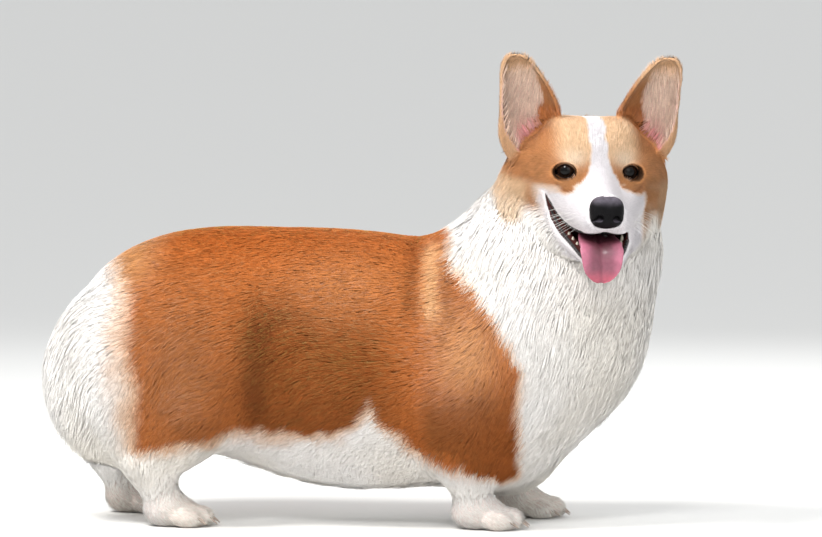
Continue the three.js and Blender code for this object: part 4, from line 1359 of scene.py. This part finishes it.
def lip(line, last, sign, radius):
    """A rod along one lip's line on the face's surface, its radius varied by small crinkles."""
    first = MOUTH_CORNER + (LEFT_CORNER if sign > 0 else 0)
    f = np.linspace(first - 1, last, 90)
    u = lip_line(line, f, np.full_like(f, sign * BESIDE_MIDLINE))
    path = np.stack([f, side_of_face(f, u, sign), u])
    kernel = np.ones(7) / 7
    path = np.stack([np.convolve(np.pad(v, 3, mode="edge"), kernel, mode="valid") for v in path])
    crinkle = 1 + 0.12 * np.sin(f * 1.9) + 0.08 * np.sin(f * 4.3)
    taper = np.minimum(1, np.minimum(f - first + 2.2, last - f + 1) / 4)
    return tube(path, radius * crinkle * np.maximum(taper, 0.25), 10)


LIP_SKIN = material(
    "lip_skin",
    (0.012, 0.009, 0.009),
    grain=(500, 0.7, 1.4),
    bump=(1200, 0.0006),
    Roughness=0.36,
    Specular_IOR_Level=0.5,
)
LIPS = ((UPPER_LIP, 56, 1.3), (LOWER_LIP, 52, 1.5))  # line, where it ends ahead, and radius
lip_parts = [lip(line, last, sign, radius) for line, last, radius in LIPS for _, sign in SIDES]
points, faces = several(lip_parts)
piece("lips", from_head(points), faces, LIP_SKIN)

# %% Teeth
ENAMEL = material(
    "enamel", (0.5, 0.45, 0.36), grain=(700, 0.9, 1.05), Roughness=0.22, Specular_IOR_Level=0.5
)
TOOTH_SUNK, TOOTH_RADIUS, TOOTH_FLAT, GUM_INSET = 3.0, 1.9, 0.7, 6.5
TOOTH_PLACES = np.array([20.0, 26.0, 32.0, 38.0, 44.0])
TOOTH_HEIGHTS = np.array([2.2, 2.4, 2.4, 2.2, 4.0])


def tooth(f, l, u, tall):
    """A flattened rod that leans back as the square of its height and narrows as a circle does."""
    step = np.linspace(0, 1, 7)
    rising = u - TOOTH_SUNK + (tall + TOOTH_SUNK) * step
    path = np.stack([f - 1.2 * step**2, l + 0 * step, rising])
    narrowing = TOOTH_RADIUS * np.sqrt(np.maximum(1 - step**2, 0.02))
    return tube(path, narrowing, 10, TOOTH_FLAT)


teeth = []
for _, sign in SIDES:
    u = lip_line(LOWER_LIP, TOOTH_PLACES, np.full_like(TOOTH_PLACES, sign * BESIDE_MIDLINE))
    l = side_of_face(TOOTH_PLACES, u - TOOTH_SUNK, sign, GUM_INSET)
    teeth += [tooth(*each) for each in zip(TOOTH_PLACES, l, u, TOOTH_HEIGHTS)]
points, faces = several(teeth)
piece("teeth", from_head(points), faces, ENAMEL)

# %% Whiskers
HAIR_SHAFT = material(
    "whisker", (0.78, 0.76, 0.72), grain=(300, 0.9, 1.05), Roughness=0.35, Specular_IOR_Level=0.4
)
WHISKER_ROWS, WHISKERS_IN_ROW, WHISKER_RADIUS = 3, 5, 0.15
pick = np.random.default_rng(9)


def whisker(sign, row, column):
    """A tapering rod that leaves the muzzle's side outwards, further back the further back its root is,
    and bends back and down as the square of its length."""
    f, u = 56 - 7.5 * column + pick.normal(0, 1), -35 - 4.8 * row + pick.normal(0, 0.6)
    l = side_of_face(np.array([f]), np.array([u]), sign)[0]
    long = 20 + 5 * column + pick.normal(0, 2)
    step = np.linspace(0, 1, 8)
    out = np.array([0.15 - 0.14 * column, sign * 0.95, -0.22 - 0.12 * row])
    path = np.array([[f], [l], [u]]) + np.outer(out / np.linalg.norm(out), step * long)
    path = path + np.outer([-0.3, 0, -0.28], long * step**2)
    return tube(path, WHISKER_RADIUS * (1 - 0.85 * step), 4)


whiskers = [
    whisker(sign, row, column)
    for _, sign in SIDES
    for row in range(WHISKER_ROWS)
    for column in range(WHISKERS_IN_ROW)
]
points, faces = several(whiskers)
piece("whiskers", from_head(points), faces, HAIR_SHAFT)

# %% [markdown]
# ## Claws
# Each toe ends in a blunt curved claw of pale horn that just clears the floor.

# %% Claws
HORN = material(
    "claw_horn", (0.38, 0.30, 0.25), grain=(260, 0.75, 1.2), Roughness=0.35, Specular_IOR_Level=0.45
)
CLAW_AHEAD, CLAW_HEIGHT, CLAW_LENGTH, CLAW_RADIUS, CLAW_FLAT = 7, 10.0, 13.5, 3.0, 0.75


def claw(x, y):
    """A flattened rod that curves down as the 1.7th power of its length and narrows to a blunt end."""
    step = np.linspace(0, 1, 9)
    base = np.array([x + CLAW_AHEAD, y, CLAW_HEIGHT])
    path = base[:, None] + np.stack([CLAW_LENGTH * step, 0 * step, -7.9 * step**1.7 + 0.8 * step])
    return tube(path, CLAW_RADIUS * (1 - 0.78 * step**1.3), 10, CLAW_FLAT)


claws = []
for _, side in SIDES:
    hind_paw = (HIND_FOOT_X[side] + HIND_PAW_AHEAD, HIND_TRACK, HIND_PAW_SIZE)
    fore_paw = (FORE_FOOT_X[side] + FORE_PAW_AHEAD, FORE_TRACK, FORE_PAW_SIZE)
    for foot_x, track, size in (hind_paw, fore_paw):
        claws += [claw(foot_x + ahead * size, side * track + aside * size) for ahead, aside, _ in TOES]
points, faces = several(claws)
points = np.vstack([points[:2], np.maximum(points[2], 0.3)])
piece("claws", points, faces, HORN)

# %% [markdown]
# ## The lie of the coat
# Hair lies like water running off the dog: back along the trunk, down the chest and legs, outwards
# from the eyes, back over the head and up the ears. Each region gives a direction, they are blended by
# how far a place belongs to each, and the result is laid flat on the surface.


# %% Directions of the hair
def blended(start, *steps):
    """Starts with one direction for all places and moves it towards others by their shares."""
    v = start
    for share, other in steps:
        other = np.array(other, float)
        other = other[:, None] if other.ndim == 1 else other
        v = v + (other - v) * share
    return v


def lie_of_coat(p, mass, region, on_ear):
    """The trunk's direction and the head's, each moved from its main one towards those of its regions,
    with a push away from the eyes."""
    x, y, z = p
    q = mass["in_head_axes"]
    f, l, u = q
    side, sign = np.abs(l), np.sign(l)
    one = np.ones_like(x)
    trunk = np.stack([-one, 0 * one, -0.12 - 0.6 * ease((220 - z) / 130)])
    trunk = blended(
        trunk,
        (ease((-120 - x) / 60) * ease((215 - z) / 60), [-0.62, 0, -0.85]),
        (ease((-232 - x) / 40), [-0.35, 0, -1]),
        (region["fringe"], [-0.8, 0, -0.6]),
        (ease((x - 90) / 70) * ease((250 - z) / 60), [-0.45, 0, -0.9]),
        (region["ruff"], np.stack([-0.4 * ease((236 - x) / 60), 0.003 * y, -one])),
        (region["legs"], [-0.12, 0, -1]),
        (ease((34 - z) / 14) * region["legs"], [0.8, 0, -0.6]),
    )
    away = q - np.stack([f, 31 * sign, 0 * u])
    near_eye = np.exp(-(away[1] ** 2 + away[2] ** 2) / 420) * (f > -20)
    face = blended(
        np.stack([-one, 0.3 * sign, 0.1 * one]),
        (ease((side - 26) / 24), np.stack([-0.7 * one, 0.7 * sign, -0.35 * one])),
        (ease((u - 2) / 16), np.stack([-0.5 * one, 0.012 * l, 0.85 * one])),
        (ease((-42 - u) / 20), np.stack([-0.55 * one, 0.004 * l, -0.85 * one])),
        (ease((side - 54) / 16) * ease((20 - u) / 16), np.stack([-0.55 * one, 0.35 * sign, -0.75 * one])),
    )
    face = face + 1.6 * near_eye * away / 20
    ear = np.stack([0 * one, -0.25 * sign * ease((f + 44) / 6), one])
    head_lie = blended(face, (on_ear, ear))
    share = np.maximum(region["head"], on_ear)
    return trunk + (HEAD_AXES.T @ head_lie - trunk) * share


# %% [markdown]
# ## How long and how close the tufts are
# Short hair needs many small tufts to hide the skin. Long hair covers itself many times over, so that
# its wisps lie in layers.

# %% Sizes of the tufts
# For each region: length, width and how many times over the tufts cover the skin
TUFTS = {
    "trunk": np.array([16.0, 1.05, 4.4]),
    "ruff": [23, 1.1, 5.0],
    "fringe": [24, 1.2, 5.0],
    "breeches": [25, 1.15, 5.0],
    "legs": [11, 1.2, 3.4],
    "paws": [6.5, 1.0, 2.6],
    "face": np.array([5.2, 0.85, 3.0]),
    "muzzle": [3.4, 0.75, 2.4],
    "forehead": [7.0, 0.95, 3.4],
    "jaw": [9.0, 1.0, 3.4],
    "cheek": [18, 1.2, 4.4],
    "ear": [5.6, 0.9, 3.0],
    "ear_foot": [13, 1.1, 4.0],
    "in_ear": [15, 0.6, 1.8],
}


def tuft_size(mass, region, on_ear, in_ear, z):
    """The trunk's sizes moved towards those of each region by how far a place belongs to it."""
    f, l, u = mass["in_head_axes"]
    legs = region["legs"]
    cheek = ease((-30 - f) / 30) * ease((np.hypot(l, u + 25) - 22) / 26)
    face = blended(
        everywhere(TUFTS["face"], f),
        (ease((f - 6) / 20), TUFTS["muzzle"]),
        (ease((u - 6) / 16), TUFTS["forehead"]),
        (ease((-40 - u) / 16), TUFTS["jaw"]),
        (cheek, TUFTS["cheek"]),
    )
    return blended(
        everywhere(TUFTS["trunk"], f),
        (region["ruff"], TUFTS["ruff"]),
        (region["fringe"], TUFTS["fringe"]),
        (region["breeches"], TUFTS["breeches"]),
        (legs, TUFTS["legs"]),
        (legs * ease((50 - z) / 26), TUFTS["paws"]),
        (region["head"], face),
        (on_ear, TUFTS["ear"]),
        (on_ear * ease((56 - u) / 20) * ease((56 - np.abs(l)) / 12), TUFTS["ear_foot"]),
        (in_ear, TUFTS["in_ear"]),
    )


# %% [markdown]
# ## Roots
# Roots are spread over the skin's faces by how many tufts each needs. Taking them at even steps along
# the running total of that number, with a little play, leaves neither bald spots nor crowds.

# %% Spread the roots
AMOUNT = 1.0
TUFT_FILL = 0.6  # the share of length times width that a tuft covers
corners = skin_points[:, skin_quads]
centres = corners.mean(2)
diagonals = corners[:, :, 2] - corners[:, :, 0], corners[:, :, 3] - corners[:, :, 1]
crossed = np.cross(diagonals[0], diagonals[1], axis=0)
areas = np.linalg.norm(crossed, axis=0) / 2
face_mass = masses(centres)
face_on_ear = ear_share(face_mass)
_, _, face_in_ear = markings(centres)
face_size = tuft_size(face_mass, coat_regions(centres, face_mass), face_on_ear, face_in_ear, centres[2])
face_q = face_mass["in_head_axes"]
EAR_TIP_HEIGHT, PAD_HEIGHT = 105.5, 2.0
bare = (mouth(face_q) < 4.2) | (sockets(face_q, 1.15, 1.0) < 0.4) | (joined(NOSE, face_q) < 1.6)
bare |= (centres[2] < PAD_HEIGHT) | ((face_on_ear > 0.5) & (face_q[2] > EAR_TIP_HEIGHT))
needed = np.where(bare, 0, areas * face_size[2] / (TUFT_FILL * face_size[0] * face_size[1]))
running = np.cumsum(needed)
draw = np.random.default_rng(5)
amount = int(running[-1] * AMOUNT)
chosen = np.searchsorted(running, (np.arange(amount) + draw.random(amount)) / amount * running[-1])
chosen = np.minimum(chosen, len(running) - 1)
across, up_face = draw.random((2, amount))
weights = np.stack(
    [(1 - across) * (1 - up_face), across * (1 - up_face), across * up_face, (1 - across) * up_face]
)
roots = (corners[:, chosen] * weights.T).sum(2)
print("tufts:", amount, "on", round(areas.sum() / 1e6, 3), "square metres of skin")

# %% [markdown]
# ## Tufts
# Each tuft is a thin closed spike with a three-cornered section. It leaves the skin where it is rooted,
# bends along the lie and ends near the coat's surface. Neighbours lean towards a shared point, as real
# hair gathers in wisps. Short hair needs one ring of points and a tip. Longer hair starts in a point
# too, and the longest has a second ring, so that it can bend.


# %% Wisps
def wisp_points(p, cell, seed):
    """The nearest of the points that are scattered one to a lattice cell, among the 27 cells round p."""
    base = np.floor(p / cell).astype(np.int64)
    best, found = np.full(p.shape[1], 1e9), p.copy()
    value = np.zeros(p.shape[1])
    for c in np.array([(i, j, k) for i in (-1, 0, 1) for j in (-1, 0, 1) for k in (-1, 0, 1)]):
        at = base + c[:, None]
        point = (at + 0.5 + 0.42 * np.stack([lattice(at, seed + n) for n in range(3)])) * cell
        near = ((point - p) ** 2).sum(0)
        closer = near < best
        best = np.where(closer, near, best)
        found = np.where(closer, point, found)
        value = np.where(closer, lattice(at, seed + 7), value)
    return found, value


def flattened(v, normal):
    """The part of v that lies in the surface."""
    return v - normal * (v * normal).sum(0)


# %% Find every tuft's size and direction
EAR_COAT_DEPTH = 1.2
mass = masses(roots)
root_q = mass["in_head_axes"]
region = coat_regions(roots, mass)
on_ear = ear_share(mass)
_, _, in_ear = markings(roots)
length, width, _ = tuft_size(mass, region, on_ear, in_ear, roots[2])
depth = coat_depth(roots, mass)
depth = depth + (EAR_COAT_DEPTH - depth) * on_ear
normal = unit(slope(skin_surface, roots, 1.2))
round_normal = unit(slope(coat_surface, roots, 2.5))
blend_share = 0.75 * (1 - on_ear)
normal = unit(normal + (round_normal - normal) * blend_share)
lie = unit(flattened(lie_of_coat(roots, mass, region, on_ear), normal))
swirl = 0.34 * noise(roots, 60, 21) + 0.24 * noise(roots, 17, 22) + 0.2 * (draw.random(amount) - 0.5)
swirl = swirl * (1 - 0.5 * region["head"])
lie = lie * np.cos(swirl) + np.cross(normal, lie, axis=0) * np.sin(swirl)
long_share = np.maximum.reduce([region["ruff"], region["breeches"], region["fringe"]])

# %% Colour and gather the tufts
# A tuft shows most at its middle, so that is where its colour is looked up
colours, whiteness, _ = markings(roots + 0.55 * length * lie * (1 - on_ear))
FINE_WISP, WIDE_WISP, STRAY_SHARE = 8.0, 17.0, 0.05
fine_wisp, fine_value = wisp_points(roots, FINE_WISP, 31)
wide_wisp, wide_value = wisp_points(roots, WIDE_WISP, 41)
gather = flattened(
    (fine_wisp - roots) * (0.26 - 0.1 * region["head"]) + (wide_wisp - roots) * 0.3 * long_share, normal
)
gather = gather - lie * (gather * lie).sum(0) * 0.5
gather *= np.minimum(1, length / 14) * (0.7 - 0.5 * whiteness)
# Hair stays short beside the mouth, so that none of it lies over the lips
length = length * (0.22 + 0.78 * ease((mouth(root_q) - 3) / 9))
length = length * (0.72 + 0.5 * draw.random(amount)) * (1 + 0.14 * wide_value * long_share)
width = width * (0.75 + 0.5 * draw.random(amount))
stray = draw.random(amount) < STRAY_SHARE
lift_end = depth * (0.03 - 0.1 * draw.random(amount) ** 1.6) + 0.35
lift_end = lift_end + stray * 0.22 * depth * draw.random(amount)
height_play = draw.normal(0, 1, amount)
width = np.where(stray, 0.55 * width, width)
twist = draw.normal(0, 0.22, amount)
tone = 1 + 0.08 * draw.normal(0, 1, amount) + 0.04 * fine_value + 0.04 * wide_value
tone = np.clip(np.where(whiteness > 0.5, 1 + 0.18 * (tone - 1), tone), 0.5, 1.4)
pale_hair = PALE[:, None] * (0.75 + 0.25 * draw.random(amount))
colours = towards(colours, pale_hair, 0.55 * in_ear)

# %% Three kinds of tuft
SHORT_END, LONG_START = 8, 30
# For each kind: which tufts, the stations of its rings, and whether it starts in a point
KINDS = {
    "short": (length < SHORT_END, [0.0], False),
    "middling": ((length >= SHORT_END) & (length < LONG_START), [0.3], True),
    "long": (length >= LONG_START, [0.25, 0.62], True),
}
for kind, (is_kind, _, _) in KINDS.items():
    print(kind, "tufts:", int(is_kind.sum()))
BODY_ROUND = 105.0  # the radius that the body's surface has under a tuft
RISE_POWER = 5.0  # how quickly a tuft rises from the skin to the coat's surface


def lay(chosen, stations):
    """Middle points of the chosen tufts: along the lie by the station's share of the length, bent
    towards the wisp, and moved to a height over the skin that rises quickly to the coat's surface, less
    what the body's roundness takes away under the tuft's length."""
    middles = []
    deep, long = depth[chosen], length[chosen]
    off_body = 1 - (1 - region["head"][chosen]) * (1 - on_ear[chosen])
    for s in stations:
        p = roots[:, chosen] + lie[:, chosen] * long * s + gather[:, chosen] * s**1.3
        rise = deep * (1 - (1 - s) ** RISE_POWER) * (1 + 0.05 * height_play[chosen]) + lift_end[chosen] * s
        fall = (long * s) ** 2 / (2 * BODY_ROUND) * (1 - off_body)
        sunk = 0.3 + 0.08 * deep
        middles.append(p + normal[:, chosen] * (rise - fall if s else -sunk))
    if len(stations) > 3:
        # The longest tufts bend round the body, so they are brought back to the coat's surface
        for i, s in list(enumerate(stations))[1:]:
            p = middles[i]
            height = -(deep + 0.5) * (1 - s) ** RISE_POWER + lift_end[chosen] * s
            for _ in range(2):
                g = unit(slope(coat_surface, p, 2.0))
                p = p - g * np.clip(coat_surface(p) - height, -7, 7)
            middles[i] = p
    return [np.vstack([p[:2], np.maximum(p[2], 0.8)]) for p in middles]


# %% Points and faces of a tuft
def tuft_points(chosen, rings, pointed):
    """A point at the root where the tuft starts in one, three points round the middle at each ring and
    one at the tip, with their colours and soft normals, as arrays of tuft by point."""
    stations = [0.0, *rings, 1.0] if pointed else [*rings, 1.0]
    middles = lay(chosen, stations)
    spots, shades, normals, places = [], [], [], []
    wide, base, up = width[chosen], colours[:, chosen] * tone[chosen], normal[:, chosen]
    # Painted shade: each tuft is darker at its root than at its tip, less so on white hair
    root_shade = 0.86 + 0.12 * whiteness[chosen]
    turn = twist[chosen]
    for i, s in enumerate(stations):
        heading = unit(middles[min(i + 1, len(stations) - 1)] - middles[max(i - 1, 0)])
        shade = base * (root_shade + (1.05 - root_shade) * s)
        if s not in rings:
            spots.append(middles[i])
            shades.append(shade)
            normals.append(unit(up + 0.25 * heading))
            places.append((0.0, s - 0.5))
            continue
        across_it = unit(np.cross(up, heading, axis=0))
        over = np.cross(heading, across_it, axis=0)
        flat = across_it * np.cos(turn) + over * np.sin(turn)
        raised = over * np.cos(turn) - across_it * np.sin(turn)
        half = wide / 2 * (0.7 if s == 0 else 1.0 - 0.4 * max(s - 0.35, 0))
        for a, b in ((1, 0), (0, 0.3), (-1, 0)):
            spots.append(middles[i] + flat * half * a + raised * half * b)
            shades.append(shade)
            normals.append(unit(flat * 0.18 * a + raised * 0.25 * (b > 0) + 1.3 * up))
            places.append((0.5 * a, s - 0.5))
    n = len(chosen)
    stack = [np.stack(a, axis=2).reshape(3, n * len(a)) for a in (spots, shades, normals)]
    return stack[0], stack[1], stack[2], np.array(places)


def tuft_faces(n, rings, pointed):
    """Sides of each ring span split in two, the tip's three faces, and at the root three more or one."""
    one = []
    start = 1 if pointed else 0
    for i in range(rings - 1):
        for k in range(3):
            a, b = start + 3 * i + k, start + 3 * i + (k + 1) % 3
            one += [(a, b, b + 3), (a, b + 3, a + 3)]
    last, tip = start + 3 * (rings - 1), start + 3 * rings
    one += [(last + k, last + (k + 1) % 3, tip) for k in range(3)]
    one += [(0, start + (k + 1) % 3, start + k) for k in range(3)] if pointed else [(0, 2, 1)]
    one = np.array(one)
    return (np.arange(n)[:, None, None] * (tip + 1) + one).reshape(-1, 3)


# %% [markdown]
# ## Pieces of the coat
# The coat is divided by region, so that no piece is too heavy. Each carries a map for baking: the skin
# near it is unrolled like a capsule round an axis through it, and every tuft gets a small patch of that
# map at its root.


# %% Capsule map and coat pieces
def capsule_map(p, start, end, upright):
    """Along: the axis measure, carried on by the angle past each end. Around: the angle round the axis.
    Both are spread over most of the unit square."""
    start, end = np.array(start, float), np.array(end, float)
    length_of = np.linalg.norm(end - start)
    axis = (end - start) / length_of
    q = p - start[:, None]
    t = np.clip(axis @ q, 0, length_of)
    out = q - axis[:, None] * t
    reach = np.linalg.norm(out, axis=0)
    along = t + 0.8 * np.median(reach) * np.arcsin(np.clip(axis @ out / np.maximum(reach, 1e-6), -1, 1))
    top = unit(np.array(upright, float) - axis * (axis @ np.array(upright, float)))
    side = np.cross(axis, top)
    around = np.arctan2(side @ out, top @ out)
    both = np.stack([along, around])
    low, high = both.min(1)[:, None], both.max(1)[:, None]
    return 0.01 + 0.98 * (both - low) / np.maximum(high - low, 1e-6)


x, y, z = roots
ahead_of_collar = x > collar_edge(z)
is_ear, is_head = on_ear > 0.5, region["head"] > 0.5
is_leg = region["legs"] > 0.5
TRUNK_AXIS = ([-190, 0, 170], [150, 0, 170])
RUFF_AXIS = ([190, 0, 120], [190, 0, 300])
HEAD_AXIS = tuple(from_head(np.array([[-50.0, 40.0], [0, 0], [-20, -38]])).T)
FORE_RIGHT_AXIS = ([126, -60, 80], [130, -58, 20])
FORE_LEFT_AXIS = ([160, 60, 80], [164, 58, 20])
HIND_RIGHT_AXIS = ([-182, -62, 80], [-178, -62, 20])
HIND_LEFT_AXIS = ([-246, 62, 80], [-242, 62, 20])
# For each piece: which roots belong to it, its axis, which way is up on its map, and its slot
BODY_PARTS = {
    "ears": (is_ear, HEAD_AXIS, (0, 0, 1), "red_coat"),
    "face": (is_head & ~is_ear & (root_q[0] > -24), HEAD_AXIS, (0, 0, -1), "red_coat"),
    "cheeks": (is_head & ~is_ear & (root_q[0] <= -24), HEAD_AXIS, (0, 0, -1), "red_coat"),
    "fore_legs_right": (is_leg & (x > 0) & (y < 0), FORE_RIGHT_AXIS, (1, 0, 0), "white_coat"),
    "fore_legs_left": (is_leg & (x > 0) & (y > 0), FORE_LEFT_AXIS, (1, 0, 0), "white_coat"),
    "hind_legs_right": (is_leg & (x < 0) & (y < 0), HIND_RIGHT_AXIS, (1, 0, 0), "white_coat"),
    "hind_legs_left": (is_leg & (x < 0) & (y > 0), HIND_LEFT_AXIS, (1, 0, 0), "white_coat"),
    "ruff_right": (ahead_of_collar & (y < 0), RUFF_AXIS, (1, 0, 0), "white_coat"),
    "ruff_left": (ahead_of_collar & (y >= 0), RUFF_AXIS, (1, 0, 0), "white_coat"),
    "barrel_right": ((x > -70) & (y < 0), TRUNK_AXIS, (0, 1, 0), "red_coat"),
    "barrel_left": ((x > -70) & (y >= 0), TRUNK_AXIS, (0, -1, 0), "red_coat"),
    "rump_right": ((x <= -70) & (y < 0), TRUNK_AXIS, (0, 1, 0), "red_coat"),
    "rump_left": ((x <= -70) & (y >= 0), TRUNK_AXIS, (0, -1, 0), "red_coat"),
}
PATCH = 0.003  # how wide a tuft's patch of the map is


def coat_piece(part, belongs, axis, upright):
    """The tufts of one region as one mesh, kind after kind, with its map and its soft normals."""
    points, faces, shades, normals, maps, first = [], [], [], [], [], 0
    for is_kind, ring_places, pointed in KINDS.values():
        picked = np.flatnonzero(belongs & is_kind)
        if not len(picked):
            continue
        spots, shade, soft, places = tuft_points(picked, ring_places, pointed)
        fresh = tuft_faces(len(picked), len(ring_places), pointed) + first
        first += spots.shape[1]
        centre_map = capsule_map(roots[:, picked], *axis, upright)
        patch = (centre_map.T[:, None] + PATCH * places).reshape(-1, 2)
        for held, new in zip((points, faces, shades, normals, maps), (spots, fresh, shade, soft, patch)):
            held.append(new)
    points, shades, normals = (np.concatenate(a, axis=1) for a in (points, shades, normals))
    faces, maps = np.concatenate(faces), np.concatenate(maps)
    coat = piece(f"coat_{part}", points, faces, HAIR, np.clip(shades, 0, 1))
    bake = coat.data.uv_layers.new(name="OFBake")
    bake.uv.foreach_set("vector", maps[faces.ravel()].astype(np.float32).ravel())
    round_over = coat.data.attributes.new("custom_normal", "FLOAT_VECTOR", "POINT")
    round_over.data.foreach_set("vector", normals.T.astype(np.float32).ravel())
    print(f"its map runs from {maps.min():.3f} to {maps.max():.3f}")
    return len(faces)


free = np.ones(amount, bool)
coat_total = 0
for part, (belongs, axis, upright, slot) in BODY_PARTS.items():
    coat_total += coat_piece(part, belongs & free, axis, upright)
    free &= ~belongs
print("coat triangles:", coat_total, "left over:", int(free.sum()))

# %% [markdown]
# ## Floor, light and camera
# A plain pale floor and soft studio light leave the dog to speak for itself. The camera stands where
# the photograph's did: three metres off, a little above the level of the back.

# %% Floor
# Rings round the dog: flat out to four metres, then rising as the square, so that no horizon shows
ROUND = 96  # points on each ring
floor_turn = np.linspace(0, 2 * np.pi, ROUND, endpoint=False)
floor_reach = np.concatenate([np.linspace(0.5, 4, 8), np.linspace(4.3, 14, 40)])
floor_rise = 0.035 * np.maximum(floor_reach - 4, 0) ** 2
rings = np.stack([np.outer(floor_reach, np.cos(floor_turn)), np.outer(floor_reach, np.sin(floor_turn))])
rings = np.concatenate([rings, np.repeat(floor_rise[:, None], ROUND, 1)[None]]).reshape(3, -1)
i = np.arange(ROUND)
spans = (np.arange(len(floor_reach) - 1) * ROUND)[:, None]
j = (i + 1) % ROUND
floor_faces = np.stack([spans + i, spans + i + ROUND, spans + j + ROUND, spans + j], -1).reshape(-1, 4)
floor_mesh = bpy.data.meshes.new("floor")
floor_mesh.from_pydata(rings.T.tolist(), [], [*floor_faces.tolist(), list(range(ROUND))])
floor_mesh.polygons.foreach_set("use_smooth", np.ones(len(floor_mesh.polygons), bool))
PAPER = material("floor_paper", (0.70, 0.70, 0.69), Roughness=0.9, Specular_IOR_Level=0.1)
floor_mesh.materials.append(PAPER)
floor = bpy.data.objects.new("floor", floor_mesh)
bpy.context.scene.collection.objects.link(floor)
print("floor rings:", len(floor_reach))

# %% Light
world = bpy.data.worlds.new("studio")
world.use_nodes = True
world.node_tree.nodes["Background"].inputs["Color"].default_value = (0.84, 0.85, 0.86, 1)
world.node_tree.nodes["Background"].inputs["Strength"].default_value = 1.08
bpy.context.scene.world = world
bpy.context.scene.view_settings.view_transform = "Standard"


def lamp(name, place, aim, size, power, colour=(1, 1, 1)):
    """A square soft light at place, turned to face aim, both in metres."""
    data = bpy.data.lights.new(name, "AREA")
    data.shape, data.size, data.energy, data.color = "SQUARE", size, power, colour
    thing = bpy.data.objects.new(name, data)
    thing.location = place
    thing.rotation_euler = (Vector(aim) - Vector(place)).to_track_quat("-Z", "Y").to_euler()
    bpy.context.scene.collection.objects.link(thing)
    return thing


# Name, place, aim, size in metres, power in watts and colour
lamp("key", (-1.4, -1.2, 2.9), (0.05, 0, 0.2), 0.8, 92, (1.0, 0.98, 0.95))
lamp("spark", (-0.28, -1.93, 1.95), (0.25, -0.1, 0.35), 0.6, 32)
lamp("fill", (1.6, -2.6, 1.2), (0.15, 0, 0.2), 1.6, 12, (1.0, 0.99, 0.97))
lamp("rim", (0.6, 2.4, 2.2), (0.05, 0, 0.25), 1.6, 28)
print("lamps:", [light.name for light in bpy.data.lights])

# %% Camera
AZIMUTH, ELEVATION, DISTANCE, LENS = np.radians(6.0), np.radians(1.5), 3.0, 131.4
PICTURE_MIDDLE = np.array([58.0, 0.0, 253.5])
looked_at = (PICTURE_MIDDLE + SHIFT) / 1000
towards_dog = np.array(
    [-np.sin(AZIMUTH) * np.cos(ELEVATION), np.cos(AZIMUTH) * np.cos(ELEVATION), -np.sin(ELEVATION)]
)
lens = bpy.data.cameras.new("camera")
lens.lens, lens.sensor_width, lens.sensor_fit = LENS, 36.0, "HORIZONTAL"
camera = bpy.data.objects.new("camera", lens)
camera.location = looked_at - towards_dog * DISTANCE
camera.rotation_mode = "QUATERNION"
camera.rotation_quaternion = Vector(towards_dog).to_track_quat("-Z", "Y")
bpy.context.scene.collection.objects.link(camera)
bpy.context.scene.camera = camera
print("camera at", camera.location)

# %% Bring the scene up to date
bpy.context.view_layer.update()
